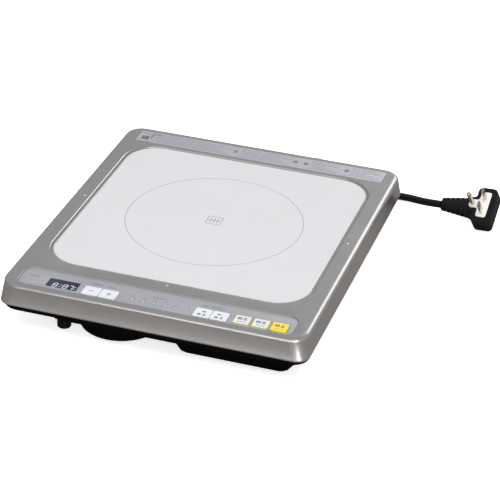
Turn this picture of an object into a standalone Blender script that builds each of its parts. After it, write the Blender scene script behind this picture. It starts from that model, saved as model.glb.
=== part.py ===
"""Tabletop induction hob: steel top frame, glass, keys, coil, fan, electronics, case, feet, mains lead.

Frame: metres, +Z up, +Y towards the rear. The origin is at the middle of the footprint, on the table.
Every named object is one physical piece. Keys travel along -Z; the fan rotor turns about its own Z.
"""
import math

import bmesh
import bpy
from mathutils import Euler, Matrix, Vector

MM = 0.001
GAP = 0.3 * MM            # between two pieces that touch

# Driving sizes of the hob
HEIGHT = 50 * MM
FRAME_TOP = (-149.2 * MM, 149.2 * MM, -174.65 * MM, 174.65 * MM)    # steel at the foot of its rounded top edge
CORNER = 18 * MM          # steel frame's corners there, seen from above
FLARE = 1.5 * MM          # how far the side wall leans out at its lower edge
HEM_CORNER = 12.5 * MM    # corners at the lower edge
BEND = 5 * MM             # rounded top edge of the steel
SKIRT = 21.8 * MM         # height of the steel's side wall
SHEET = 1 * MM            # steel thickness

# Glass and the opening that holds it, as (x0, x1, y0, y1)
GLASS = (-128 * MM, 128 * MM, -119 * MM, 136.3 * MM)
GLASS_CORNER = 33 * MM
GLASS_TOP = HEIGHT - 1.2 * MM
GLASS_THICK = 4 * MM
SEAL_WIDE = 2.3 * MM      # from the glass edge to the steel wall
LEDGE = 6 * MM            # steel ledge that the glass rests on, inside the glass edge
LEDGE_TOP = GLASS_TOP - GLASS_THICK - 1.8 * MM
RING_CENTRE = (0.0, 8.6 * MM)

# Control strip along the front
PANEL = (-134 * MM, 133.5 * MM, -169.4 * MM, -138 * MM)
PANEL_CORNER = 9 * MM
PANEL_TOP = HEIGHT - 0.8 * MM
PANEL_THICK = 1.5 * MM
TRAY_FLOOR = PANEL_TOP - PANEL_THICK - GAP   # top of the steel under the strip
DISPLAY = (-106 * MM, -76.3 * MM, -164.8 * MM, -150.6 * MM)
LAMPS, LAMP_FIRST, LAMP_PITCH, LAMP_Y = 6, -22.6 * MM, 10.7 * MM, -158.7 * MM
LAMP_R = 1.6 * MM
KEY_TOP = HEIGHT - 0.1 * MM
KEY_TRAVEL = 0.5 * MM
KEY_Y = (-167.4 * MM, -152.4 * MM)
SMALL_KEY_Y = (-165.8 * MM, -151.6 * MM)
KEYS = {
    "key_minus": (-70.2 * MM, -53.7 * MM, *KEY_Y),
    "key_plus": (-53.2 * MM, -36.7 * MM, *KEY_Y),
    "key_left": (38.6 * MM, 54.5 * MM, *KEY_Y),
    "key_right": (55.0 * MM, 70.9 * MM, *KEY_Y),
    "key_mode_a": (76.6 * MM, 92.0 * MM, *SMALL_KEY_Y),
    "key_mode_b": (94.4 * MM, 109.8 * MM, *SMALL_KEY_Y),
    "key_power": (112.4 * MM, 127.4 * MM, *SMALL_KEY_Y),
}
BOARD_TOP = 38.7 * MM

# Case below the steel
WALL = 2 * MM
TRAY = (-148.8 * MM, 148.8 * MM, -174.25 * MM, 174.25 * MM)
TRAY_BOTTOM, TRAY_RIM = 22 * MM, 33 * MM
PAN = (-103 * MM, 141 * MM, -168.6 * MM, 168 * MM)
PAN_BOTTOM = 15 * MM
DEEP = (25.8 * MM, 130 * MM, -166.5 * MM, 110 * MM)   # at its lower end
DEEP_BOTTOM = 6.5 * MM
DEEP_SLOPE = 0.79         # how far the deep well's two ends lean out, for each unit of height
FAN_AT = (-44 * MM, -128 * MM)
FAN_BOTTOM = 5 * MM
FAN_HOUSE_R = 40 * MM
FAN_R = 36 * MM
FEET = {
    "foot_front_left": (-93 * MM, -152 * MM, PAN_BOTTOM),
    "foot_rear_left": (-90 * MM, 150 * MM, PAN_BOTTOM),
    "foot_rear_right": (104 * MM, 150 * MM, PAN_BOTTOM),
    "foot_front_right": (104 * MM, -146 * MM, DEEP_BOTTOM),
}
FOOT_R = 6.7 * MM
SCREWS = [                # place, and the case's underside there
    (-137 * MM, -158 * MM, TRAY_BOTTOM), (-137 * MM, 158 * MM, TRAY_BOTTOM),
    (130 * MM, 156 * MM, PAN_BOTTOM), (124.4 * MM, -130 * MM, DEEP_BOTTOM),
]
STUD_BOTTOM = 27 * MM     # lower end of the steel studs that the screws go into

# Mains lead: 1.5 m of 7.8 mm cord, most of it in a tied hank behind the hob
CORD_R = 3.9 * MM
GLAND_AT = (60 * MM, 168 * MM, 20.5 * MM)
GLAND_TIP = 200 * MM
CORD_WELL = (44 * MM, 76 * MM, 148 * MM, 168 * MM)
CORD_WELL_BOTTOM = 11 * MM
HANK_AT = (-5 * MM, 206 * MM)
HANK_HALF = 80 * MM       # half of the straight runs
FOLD = 24 * MM            # radius of the tightest fold
PLY = 2 * CORD_R + 0.3 * MM
LEAD_IN = [(60, 200.8, 20.5), (60, 206, 20.4), (58, 214, 20), (53, 221, 19.6), (45, 226.5, 19.2), (37, 229, 19.1)]
LEAD_OUT = [
    (76, 173.6, 4), (84.6, 174.6, 4), (93.4, 178.2, 4), (101, 183.3, 4), (109, 190, 4),
    (118, 196.6, 4.1), (128, 201, 4.4), (139, 202.7, 5.1), (152, 200.2, 6.5),
    (166, 195.2, 8.3), (178, 189.8, 11), (190.4, 186, 13.4),
]

# Plug, in its own frame: +X away from the cord, +Z along the pins
PLUG_AT = (238.2 * MM, 180.7 * MM, 19.2 * MM)
PLUG_TURN = (math.radians(35), math.radians(-6), math.radians(-8))
PLUG_HEAD = (20.5 * MM, 41 * MM, 21 * MM)


def collection(name):
    made = bpy.data.collections.new(name)
    bpy.context.scene.collection.children.link(made)
    return made


def material(name, colour, roughness, metallic=0.0):
    """A plain Principled material in the piece's colour."""
    made = bpy.data.materials.new(name)
    made.use_nodes = True
    shader = made.node_tree.nodes["Principled BSDF"]
    shader.inputs["Base Color"].default_value = (*colour, 1)
    shader.inputs["Roughness"].default_value = roughness
    shader.inputs["Metallic"].default_value = metallic
    made.diffuse_color = (*colour, 1)
    return made


def add(name, mesh, finish, group=None, smooth=True):
    """Puts a mesh in the model as a named piece."""
    piece = bpy.data.objects.new(name, mesh)
    (group or HOB).objects.link(piece)
    if finish:
        mesh.materials.append(FINISH[finish])
    if smooth:
        mesh.shade_smooth()
        mesh.set_sharp_from_angle(angle=math.radians(35))
    return piece


def mesh_of(bm, name):
    mesh = bpy.data.meshes.new(name)
    bm.to_mesh(mesh)
    bm.free()
    return mesh


def grown(box, by):
    return (box[0] - by, box[1] + by, box[2] - by, box[3] + by)


def block(name, box, z0, z1, corner=0.0, top=0.0, bottom=0.0, turns=5, edge_turns=2):
    """A block over box = (x0, x1, y0, y1) with round upright corners and rounded upper or lower edges."""
    x0, x1, y0, y1 = box
    bm = bmesh.new()
    place = Matrix.Translation(((x0 + x1) / 2, (y0 + y1) / 2, (z0 + z1) / 2))
    bmesh.ops.create_cube(bm, size=1, matrix=place @ Matrix.Diagonal((x1 - x0, y1 - y0, z1 - z0, 1)))
    if corner:
        upright = [e for e in bm.edges if abs(e.verts[0].co.z - e.verts[1].co.z) > (z1 - z0) / 2]
        bmesh.ops.bevel(bm, geom=upright, offset=corner, segments=turns, profile=0.5, affect="EDGES")
    for level, size in ((z1, top), (z0, bottom)):
        if size:
            rim = [e for e in bm.edges if all(abs(v.co.z - level) < 1e-6 for v in e.verts)]
            bmesh.ops.bevel(bm, geom=rim, offset=size, segments=edge_turns, profile=0.5, affect="EDGES")
    return mesh_of(bm, name)


def drum(name, radius, z0, z1, at=(0, 0), top_radius=None, sides=24):
    """An upright cylinder, or a cone where the top radius differs."""
    bm = bmesh.new()
    bmesh.ops.create_cone(
        bm, cap_ends=True, segments=sides, radius1=radius,
        radius2=radius if top_radius is None else top_radius,
        depth=z1 - z0, matrix=Matrix.Translation((*at, (z0 + z1) / 2)),
    )
    return mesh_of(bm, name)


def outline(name, points, z0, z1):
    """A flat outline made solid between two heights."""
    curve = bpy.data.curves.new(name, "CURVE")
    curve.dimensions = "2D"
    curve.fill_mode = "BOTH"
    curve.extrude = (z1 - z0) / 2
    spline = curve.splines.new("POLY")
    spline.points.add(len(points) - 1)
    for point, (x, y) in zip(spline.points, points):
        point.co = (x, y, 0, 1)
    spline.use_cyclic_u = True
    return as_mesh(curve, name, Matrix.Translation((0, 0, (z0 + z1) / 2)))


def as_mesh(curve, name, place=None):
    """A curve's surface as a mesh with its caps joined on."""
    holder = bpy.data.objects.new(name, curve)
    bpy.context.scene.collection.objects.link(holder)
    view = bpy.context.evaluated_depsgraph_get()
    mesh = bpy.data.meshes.new_from_object(holder.evaluated_get(view))
    bpy.data.objects.remove(holder)
    bm = bmesh.new()
    bm.from_mesh(mesh)
    bmesh.ops.remove_doubles(bm, verts=bm.verts, dist=0.00001)
    bmesh.ops.transform(bm, matrix=place or Matrix(), verts=bm.verts)
    bm.to_mesh(mesh)
    bm.free()
    return mesh


def change(piece, mesh, how):
    """Joins mesh to the piece (UNION) or cuts it away (DIFFERENCE)."""
    tool = add(f"{piece.name}_{how.lower()}_{len(piece.modifiers)}", mesh, None, CUTTERS, smooth=False)
    tool.hide_render = True
    tool.display_type = "WIRE"
    tool.parent = piece.parent
    step = piece.modifiers.new(how.title(), "BOOLEAN")
    step.operation = how
    step.solver = "EXACT"
    step.object = tool
    return tool


def join(piece, mesh):
    return change(piece, mesh, "UNION")


def cut(piece, mesh):
    return change(piece, mesh, "DIFFERENCE")


def turned(name, profile, at=(0, 0, 0), sides=32, lay=None):
    """A turned solid. The profile lists (radius, height) from the top of the axis, outside, to the bottom."""
    bm = bmesh.new()
    verts = [bm.verts.new((r, 0, z)) for r, z in profile]
    for a, b in zip(verts, verts[1:]):
        bm.edges.new((a, b))
    mesh = mesh_of(bm, name)
    holder = bpy.data.objects.new(name, mesh)
    bpy.context.scene.collection.objects.link(holder)
    spin = holder.modifiers.new("Turn", "SCREW")
    spin.steps = spin.render_steps = sides
    spin.use_merge_vertices = True
    spin.merge_threshold = 0.00001
    view = bpy.context.evaluated_depsgraph_get()
    solid = bpy.data.meshes.new_from_object(holder.evaluated_get(view))
    bpy.data.objects.remove(holder)
    solid.transform(Matrix.Translation(at) @ (lay or Matrix()))
    return solid


def smooth_route(points, step):
    """Points a step apart on a smooth curve through the route's own points, given in millimetres."""
    given = [Vector(p) * MM for p in points]
    ends = [2 * given[0] - given[1], *given, 2 * given[-1] - given[-2]]
    fine = []
    for a, b, c, d in zip(ends, ends[1:], ends[2:], ends[3:]):
        for k in range(24):
            t = k / 24
            fine.append(0.5 * (2 * b + (c - a) * t + (2 * a - 5 * b + 4 * c - d) * t**2
                               + (3 * b - a - 3 * c + d) * t**3))
    fine.append(given[-1])
    lengths = [0.0]
    for a, b in zip(fine, fine[1:]):
        lengths.append(lengths[-1] + (b - a).length)
    count = max(3, round(lengths[-1] / step))
    out, at = [], 0
    for k in range(count + 1):
        want = lengths[-1] * k / count
        while at < len(fine) - 2 and lengths[at + 1] < want:
            at += 1
        share = (want - lengths[at]) / (lengths[at + 1] - lengths[at])
        out.append(fine[at].lerp(fine[at + 1], min(1.0, share)))
    return out


def tube(name, points, radius, finish):
    """A round cord along the points."""
    curve = bpy.data.curves.new(name, "CURVE")
    curve.dimensions = "3D"
    curve.bevel_depth = radius
    curve.bevel_resolution = 2
    curve.use_fill_caps = True
    spline = curve.splines.new("POLY")
    spline.points.add(len(points) - 1)
    for point, place in zip(spline.points, points):
        point.co = (*place, 1)
    curve.materials.append(FINISH[finish])
    piece = bpy.data.objects.new(name, curve)
    HOB.objects.link(piece)
    return piece


# ---- steel, glass and seal -------------------------------------------------------------------------

def steel_top():
    """The pressed top: rounded shell, glass opening with its ledge, sunk tray for the control strip."""
    piece = add("top_frame", leaning_shell("top_frame", 0, 0, 4), "steel")
    cut(piece, leaning_shell("cavity", SHEET, SHEET, 3))
    opening = grown(GLASS, SEAL_WIDE)
    wide = GLASS_CORNER + SEAL_WIDE
    under = HEIGHT - 0.8 * SHEET
    join(piece, block("lip", grown(opening, SHEET), LEDGE_TOP - SHEET, under, wide + SHEET, turns=6))
    join(piece, block("tray", grown(PANEL, SHEET), TRAY_FLOOR - SHEET, under, PANEL_CORNER + SHEET, turns=4))
    cut(piece, block("opening", opening, LEDGE_TOP, HEIGHT + SHEET, wide, turns=6))
    cut(piece, block("ledge_hole", grown(GLASS, -LEDGE), LEDGE_TOP - 2 * SHEET, LEDGE_TOP + SHEET,
                     GLASS_CORNER - LEDGE, turns=6))
    cut(piece, block("strip_recess", PANEL, TRAY_FLOOR, HEIGHT + SHEET, PANEL_CORNER, turns=4))
    for box in floor_windows():
        cut(piece, block("window", box, TRAY_FLOOR - 2 * SHEET, TRAY_FLOOR + SHEET))
    for x, y, _ in SCREWS:
        join(piece, drum("stud", 3.2 * MM, STUD_BOTTOM, under, (x, y), sides=12))
    for x, y, _ in SCREWS:
        cut(piece, drum("stud_hole", 1.9 * MM, STUD_BOTTOM - 1 * MM, 38 * MM, (x, y), sides=12))
    return piece


def key_groups():
    """Holes that hold keys: two side-by-side keys share one."""
    names = list(KEYS)
    pairs = [(KEYS[a][0], KEYS[b][1], *KEYS[a][2:]) for a, b in (names[0:2], names[2:4])]
    return pairs + [KEYS[name] for name in names[4:]]


def floor_windows():
    """Windows through the tray's floor for the keys, the display and the row of lamps."""
    lamps = (LAMP_FIRST - 3 * MM, LAMP_FIRST + (LAMPS - 1) * LAMP_PITCH + 3 * MM, LAMP_Y - 3 * MM, LAMP_Y + 3 * MM)
    return [grown(box, 0.6 * MM) for box in key_groups()] + [grown(DISPLAY, 1.6 * MM), lamps]


def leaning_shell(name, inset, below, steps):
    """The frame's outer form, or its hollow: a leaning side wall with a rounded edge above it."""
    shoulder, radius = HEIGHT - BEND, BEND - inset
    low = HEIGHT - SKIRT - below
    lean = FLARE * (shoulder - low) / (SKIRT - BEND)
    rings = [(grown(FRAME_TOP, lean - inset), HEM_CORNER - inset, low)]
    for k in range(steps + 1):
        a = math.pi / 2 * k / steps
        inward = radius * (1 - math.cos(a))
        rings.append((grown(FRAME_TOP, -inset - inward), CORNER - inset - inward, shoulder + radius * math.sin(a)))
    return loft(name, rings, 6)


def loft(name, rings, turns):
    """A closed solid through rounded rectangles, each given as box, corner radius and height."""
    bm = bmesh.new()
    loops = []
    for (x0, x1, y0, y1), corner, z in rings:
        centres = [(x1 - corner, y1 - corner), (x0 + corner, y1 - corner), (x0 + corner, y0 + corner),
                   (x1 - corner, y0 + corner)]
        loops.append([bm.verts.new((cx + corner * math.cos(math.pi / 2 * (q + k / turns)),
                                    cy + corner * math.sin(math.pi / 2 * (q + k / turns)), z))
                      for q, (cx, cy) in enumerate(centres) for k in range(turns + 1)])
    for a, b in zip(loops, loops[1:]):
        for i in range(len(a)):
            j = (i + 1) % len(a)
            bm.faces.new((a[i], a[j], b[j], b[i]))
    bm.faces.new(loops[0])
    bm.faces.new(loops[-1])
    bmesh.ops.recalc_face_normals(bm, faces=bm.faces)
    return mesh_of(bm, name)


def glass_and_seal():
    add("glass_plate", block("glass_plate", GLASS, GLASS_TOP - GLASS_THICK, GLASS_TOP, GLASS_CORNER,
                             top=0.5 * MM, turns=6, edge_turns=1), "glass")
    seal = add("glass_seal", block("glass_seal", grown(GLASS, SEAL_WIDE - GAP), LEDGE_TOP + GAP,
                                   GLASS_TOP - 0.5 * MM, GLASS_CORNER + SEAL_WIDE - GAP, turns=6), "silicone")
    cut(seal, block("glass_pocket", grown(GLASS, GAP), GLASS_TOP - GLASS_THICK - GAP, HEIGHT,
                    GLASS_CORNER + GAP, turns=6))
    cut(seal, block("seal_hole", grown(GLASS, -4 * MM), LEDGE_TOP, HEIGHT, GLASS_CORNER - 4 * MM, turns=6))


def rear_label():
    """Thin printed plate along the rear of the steel, let in flush with its surface."""
    box = (-133 * MM, 134.5 * MM, 142.2 * MM, 165.2 * MM)
    cut(bpy.data.objects["top_frame"], block("label_seat", grown(box, GAP), HEIGHT - 0.5 * MM, HEIGHT + SHEET))
    add("rear_label", block("rear_label", box, HEIGHT - 0.2 * MM, HEIGHT), "label")


# ---- control strip ---------------------------------------------------------------------------------

def control_strip():
    strip = add("control_overlay", block("control_overlay", grown(PANEL, -GAP), PANEL_TOP - PANEL_THICK,
                                         PANEL_TOP, PANEL_CORNER - GAP, turns=4), "overlay")
    for box in [grown(b, 0.35 * MM) for b in key_groups()] + [grown(DISPLAY, GAP)]:
        cut(strip, block("strip_hole", box, PANEL_TOP - 2 * PANEL_THICK, HEIGHT))
    for k in range(LAMPS):
        at = (LAMP_FIRST + k * LAMP_PITCH, LAMP_Y)
        cut(strip, drum("lamp_hole", LAMP_R + GAP, PANEL_TOP - 2 * PANEL_THICK, HEIGHT, at, sides=12))
    add("display_window", block("display_window", DISPLAY, PANEL_TOP - PANEL_THICK, PANEL_TOP - 0.1 * MM), "window")
    add("display_module", block("display_module", grown(DISPLAY, 1 * MM), BOARD_TOP + GAP,
                                TRAY_FLOOR), "dark_plastic")


def lamp_guide():
    """A clear bar with one post behind each lamp window."""
    ends = (LAMP_FIRST - 2.5 * MM, LAMP_FIRST + (LAMPS - 1) * LAMP_PITCH + 2.5 * MM, LAMP_Y - 2 * MM, LAMP_Y + 2 * MM)
    guide = add("indicator_guide", block("indicator_guide", ends, BOARD_TOP + GAP, 41 * MM), "clear")
    for k in range(LAMPS):
        at = (LAMP_FIRST + k * LAMP_PITCH, LAMP_Y)
        join(guide, drum("post", LAMP_R, 40 * MM, PANEL_TOP - 0.1 * MM, at, sides=12))


def keys():
    """Each key: a cap, a flange that keeps it in, and a stem over its dome. Its origin is on its travel axis."""
    for name, (x0, x1, y0, y1) in KEYS.items():
        at = Vector(((x0 + x1) / 2, (y0 + y1) / 2, KEY_TOP))
        half = (x1 - x0) / 2
        deep = (y1 - y0) / 2
        low = 45 * MM - KEY_TOP
        cap = (-half, half, -deep, deep)
        finish = "key_yellow" if name == "key_power" else "key_white"
        key = add(name, block(name, cap, low + 0.2 * MM, 0, 1 * MM, top=0.4 * MM, turns=2, edge_turns=1), finish)
        key.location = at
        flange = (-half, half, -deep - 1.2 * MM, deep + 1.2 * MM)
        for tool in (
            join(key, block("flange", flange, low, low + 1 * MM)),
            join(key, drum("stem", 2.5 * MM, low - 2 * MM, low + 0.6 * MM, sides=12)),
        ):
            tool.location = at


def keypad_and_board():
    """Silicone mat with a dome under each key, on the control board."""
    mat_box = (-74 * MM, 130 * MM, -168 * MM, -150.5 * MM)
    mat = add("keypad_mat", block("keypad_mat", mat_box, BOARD_TOP + GAP, BOARD_TOP + 1.3 * MM), "silicone_grey")
    slot = (LAMP_FIRST - 4 * MM, LAMP_FIRST + (LAMPS - 1) * LAMP_PITCH + 3.5 * MM, LAMP_Y - 3.5 * MM, LAMP_Y + 3.5 * MM)
    cut(mat, block("lamp_slot", slot, BOARD_TOP, BOARD_TOP + 3 * MM))
    for x0, x1, y0, y1 in KEYS.values():
        at = ((x0 + x1) / 2, (y0 + y1) / 2)
        join(mat, drum("dome", 4 * MM, BOARD_TOP + 1 * MM, 42.2 * MM, at, 2.8 * MM, sides=12))
    board = (-116 * MM, 131 * MM, -168.6 * MM, -141 * MM)
    add("control_board", block("control_board", board, BOARD_TOP - 1.6 * MM, BOARD_TOP, 2 * MM, turns=2), "board")


# ---- coil ------------------------------------------------------------------------------------------

def coil():
    """Flat spiral of wound wire on a spoked former, with ferrite bars below and a mica sheet above."""
    x, y = RING_CENTRE
    mica = add("mica_sheet", drum("mica_sheet", 84 * MM, 44.1 * MM, 44.5 * MM, RING_CENTRE, sides=32), "mica")
    cut(mica, drum("sensor_hole", 7 * MM, 43 * MM, 46 * MM, RING_CENTRE, sides=16))
    add("temperature_sensor", turned("temperature_sensor", [
        (0, 44.5 * MM), (6 * MM, 44.5 * MM), (6 * MM, 40 * MM), (3 * MM, 40 * MM), (3 * MM, 34 * MM), (0, 34 * MM),
    ], (x, y, 0), 16), "silicone_grey")
    former = add("coil_former", drum("coil_former", 86 * MM, 36.6 * MM, 39.6 * MM, RING_CENTRE, sides=32), "dark_plastic")
    cut(former, drum("former_hole", 8 * MM, 35 * MM, 41 * MM, RING_CENTRE, sides=16))
    for k in range(6):
        spoke = block("air_slot", (24 * MM, 74 * MM, -7 * MM, 7 * MM), 35 * MM, 41 * MM)
        spoke.transform(Matrix.Translation((x, y, 0)) @ Matrix.Rotation(math.radians(60 * k), 4, "Z"))
        cut(former, spoke)
    add("coil_winding", spiral("coil_winding", 22 * MM, 81 * MM, 12, 40 * MM, 43.7 * MM), "copper")
    for k in range(4):
        bar = block("ferrite", (26 * MM, 80 * MM, -6 * MM, 6 * MM), 31 * MM, 36.3 * MM)
        bar.transform(Matrix.Translation((x, y, 0)) @ Matrix.Rotation(math.radians(45 + 90 * k), 4, "Z"))
        add(f"ferrite_bar_{k + 1}", bar, "ferrite", smooth=False)


def spiral(name, inner, outer, rounds, z0, z1, per_round=20):
    """A flat spiral strip of square section, from its inner to its outer end."""
    pitch = (outer - inner) / rounds
    wide = pitch - 1.2 * MM
    bm = bmesh.new()
    rings = []
    for k in range(rounds * per_round + 1):
        turn = 2 * math.pi * k / per_round
        middle = inner + wide / 2 + pitch * k / per_round
        corners = [(middle - wide / 2, z0), (middle + wide / 2, z0), (middle + wide / 2, z1), (middle - wide / 2, z1)]
        rings.append([bm.verts.new((r * math.cos(turn) + RING_CENTRE[0], r * math.sin(turn) + RING_CENTRE[1], z))
                      for r, z in corners])
    for a, b in zip(rings, rings[1:]):
        for i in range(4):
            bm.faces.new((a[i], a[(i + 1) % 4], b[(i + 1) % 4], b[i]))
    bm.faces.new(rings[0])
    bm.faces.new(rings[-1])
    bmesh.ops.recalc_face_normals(bm, faces=bm.faces)
    return mesh_of(bm, name)


# ---- case, feet and screws -------------------------------------------------------------------------

def bottom_case():
    """One moulding: shallow tray inside the skirt, pan, deep electronics well and round fan well."""
    case = add("bottom_case", block("bottom_case", TRAY, TRAY_BOTTOM, TRAY_RIM, 16 * MM, turns=5), "black_plastic")
    join(case, block("pan", PAN, PAN_BOTTOM, TRAY_BOTTOM + 1 * MM, 12 * MM, bottom=3 * MM, turns=3, edge_turns=2))
    join(case, leaning_block("deep", DEEP, DEEP_BOTTOM, PAN_BOTTOM + 4 * MM, 8 * MM, 1.5 * MM))
    join(case, block("cord_well", CORD_WELL, CORD_WELL_BOTTOM, PAN_BOTTOM + 4 * MM))
    join(case, drum("fan_well", FAN_HOUSE_R, FAN_BOTTOM, PAN_BOTTOM + 4 * MM, FAN_AT, sides=48))
    cut(case, block("tray_inside", grown(TRAY, -WALL), TRAY_BOTTOM + WALL, TRAY_RIM + 1 * MM, 14 * MM, turns=5))
    cut(case, block("pan_inside", grown(PAN, -WALL), PAN_BOTTOM + WALL, TRAY_BOTTOM + 3 * MM, 10 * MM, turns=3))
    inner = (DEEP[0] + 0.6 * MM, DEEP[1] - 0.6 * MM, DEEP[2] + WALL, DEEP[3] - WALL)
    cut(case, leaning_block("deep_inside", inner, DEEP_BOTTOM + WALL, PAN_BOTTOM + WALL + 0.5 * MM, 6 * MM, 0))
    cut(case, block("cord_well_inside", grown(CORD_WELL, -WALL), CORD_WELL_BOTTOM + WALL, TRAY_BOTTOM + 2 * MM))
    cut(case, drum("fan_inside", FAN_HOUSE_R - WALL, FAN_BOTTOM + WALL, TRAY_BOTTOM + 2 * MM, FAN_AT, sides=48))
    for k in range(16):
        slot = block("intake", (13 * MM, 32 * MM, -1.5 * MM, 1.5 * MM), FAN_BOTTOM - 1 * MM, FAN_BOTTOM + 3 * MM)
        slot.transform(Matrix.Translation((*FAN_AT, 0)) @ Matrix.Rotation(2 * math.pi * (k + 0.5) / 16, 4, "Z"))
        cut(case, slot)
    for k in range(16):
        vent = block("side_vent", (FAN_HOUSE_R - 3.5 * MM, FAN_HOUSE_R + 2 * MM, -1.2 * MM, 1.2 * MM),
                     FAN_BOTTOM + WALL + 0.2 * MM, FAN_BOTTOM + WALL + 2.6 * MM)
        vent.transform(Matrix.Translation((*FAN_AT, 0)) @ Matrix.Rotation(math.radians(-90 + 8 * (k - 9)), 4, "Z"))
        cut(case, vent)
    for k in range(11):
        x = -90 * MM + k * 12 * MM
        cut(case, block("exhaust", (x, x + 6 * MM, PAN[3] - 8 * MM, PAN[3] + 3 * MM), 18 * MM, 21 * MM))
    for x, y, under in SCREWS:
        join(case, drum("screw_post", 3.4 * MM, under + 1.5 * MM, STUD_BOTTOM - GAP, (x, y), sides=12))
    for x, y, under in SCREWS:
        cut(case, drum("screw_hole", 1.9 * MM, under - 1 * MM, STUD_BOTTOM + 1 * MM, (x, y), sides=12))
    for at in ((-110 * MM, -146 * MM), (126 * MM, -146 * MM), (0, -146 * MM)):
        join(case, drum("board_post", 3 * MM, at_floor(at) - 0.5 * MM, BOARD_TOP - 1.6 * MM - GAP, at, sides=12))
    for at in coil_posts():
        join(case, drum("coil_post", 3.4 * MM, at_floor(at) - 0.5 * MM, 36.6 * MM - GAP, at, sides=12))
    for x in (30 * MM, 116 * MM):
        for y in (-134 * MM, 94 * MM):
            join(case, drum("main_post", 3 * MM, DEEP_BOTTOM + 1.5 * MM, 11 * MM - GAP, (x, y), sides=12))
    cut(case, lying_drum("gland_hole", 5.8 * MM, (GLAND_AT[0], PAN[3] - 4 * MM, GLAND_AT[2]), 12 * MM))


def leaning_block(name, box, z0, z1, corner, bottom):
    """A block over box at its lower end, whose two ends lean outwards with height."""
    mesh = block(name, box, z0, z1, corner, bottom=bottom, turns=3, edge_turns=1)
    middle = (box[0] + box[1]) / 2
    half = (box[1] - box[0]) / 2
    for vertex in mesh.vertices:
        vertex.co.x = middle + (vertex.co.x - middle) * (1 + DEEP_SLOPE * (vertex.co.z - z0) / half)
    return mesh


def coil_posts():
    """Places of the three posts that carry the coil former."""
    turns = [math.radians(90 + 120 * k) for k in range(3)]
    return [(RING_CENTRE[0] + 82 * MM * math.cos(a), RING_CENTRE[1] + 82 * MM * math.sin(a)) for a in turns]


def at_floor(at):
    """Height of the case's inner floor below a place."""
    x, y = at
    for box, level in ((DEEP, DEEP_BOTTOM), (PAN, PAN_BOTTOM)):
        if box[0] + 3 * MM < x < box[1] - 3 * MM and box[2] + 3 * MM < y < box[3] - 3 * MM:
            return level + WALL
    return TRAY_BOTTOM + WALL


def lying_drum(name, radius, at, long, sides=20):
    """A cylinder along +Y from at."""
    mesh = drum(name, radius, 0, long, sides=sides)
    mesh.transform(Matrix.Translation(at) @ Matrix.Rotation(math.radians(-90), 4, "X"))
    return mesh


def feet_and_screws():
    for name, (x, y, under) in FEET.items():
        top = under - GAP
        add(name, turned(name, [
            (0, top), (FOOT_R, top), (FOOT_R, 1.2 * MM), (FOOT_R - 1.2 * MM, 0), (0, 0),
        ], (x, y, 0), 24), "rubber")
    for k, (x, y, under) in enumerate(SCREWS):
        low = under - GAP
        add(f"case_screw_{k + 1}", turned(f"case_screw_{k + 1}", [
            (0, 36 * MM), (1.5 * MM, 36 * MM), (1.5 * MM, low), (3.6 * MM, low), (3.2 * MM, low - 1.8 * MM),
            (0, low - 2.2 * MM),
        ], (x, y, 0), 12), "zinc")


# ---- fan and electronics ---------------------------------------------------------------------------

def fan():
    """Axial fan in the round well: a frame with three arms above, and a seven-blade rotor."""
    low = FAN_BOTTOM + WALL + GAP
    frame = add("fan_frame", drum("fan_frame", FAN_R, low, low + 15.2 * MM, FAN_AT, sides=36), "dark_plastic")
    cut(frame, drum("fan_bore", FAN_R - 2.5 * MM, low - 1 * MM, low + 16 * MM, FAN_AT, sides=36))
    join(frame, drum("motor_seat", 11 * MM, low + 13.2 * MM, low + 15.2 * MM, FAN_AT, sides=20))
    for k in range(3):
        arm = block("arm", (9 * MM, FAN_R - 1 * MM, -1.5 * MM, 1.5 * MM), low + 13.5 * MM, low + 14.9 * MM)
        arm.transform(Matrix.Translation((*FAN_AT, 0)) @ Matrix.Rotation(math.radians(30 + 120 * k), 4, "Z"))
        join(frame, arm)
    hub = turned("fan_rotor", [
        (0, 10 * MM), (11 * MM, 10 * MM), (12 * MM, 9 * MM), (12 * MM, 0), (0, 0),
    ], sides=24)
    rotor = add("fan_rotor", hub, "black_plastic")
    rotor.location = (*FAN_AT, low + 2.2 * MM)
    for k in range(7):
        blade = block("blade", (10 * MM, 31 * MM, -7 * MM, 7 * MM), -0.8 * MM, 0.8 * MM)
        blade.transform(
            Matrix.Rotation(2 * math.pi * k / 7, 4, "Z") @ Matrix.Translation((0, 0, 4.8 * MM))
            @ Matrix.Rotation(math.radians(32), 4, "X")
        )
        join(rotor, blade).location = rotor.location


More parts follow.
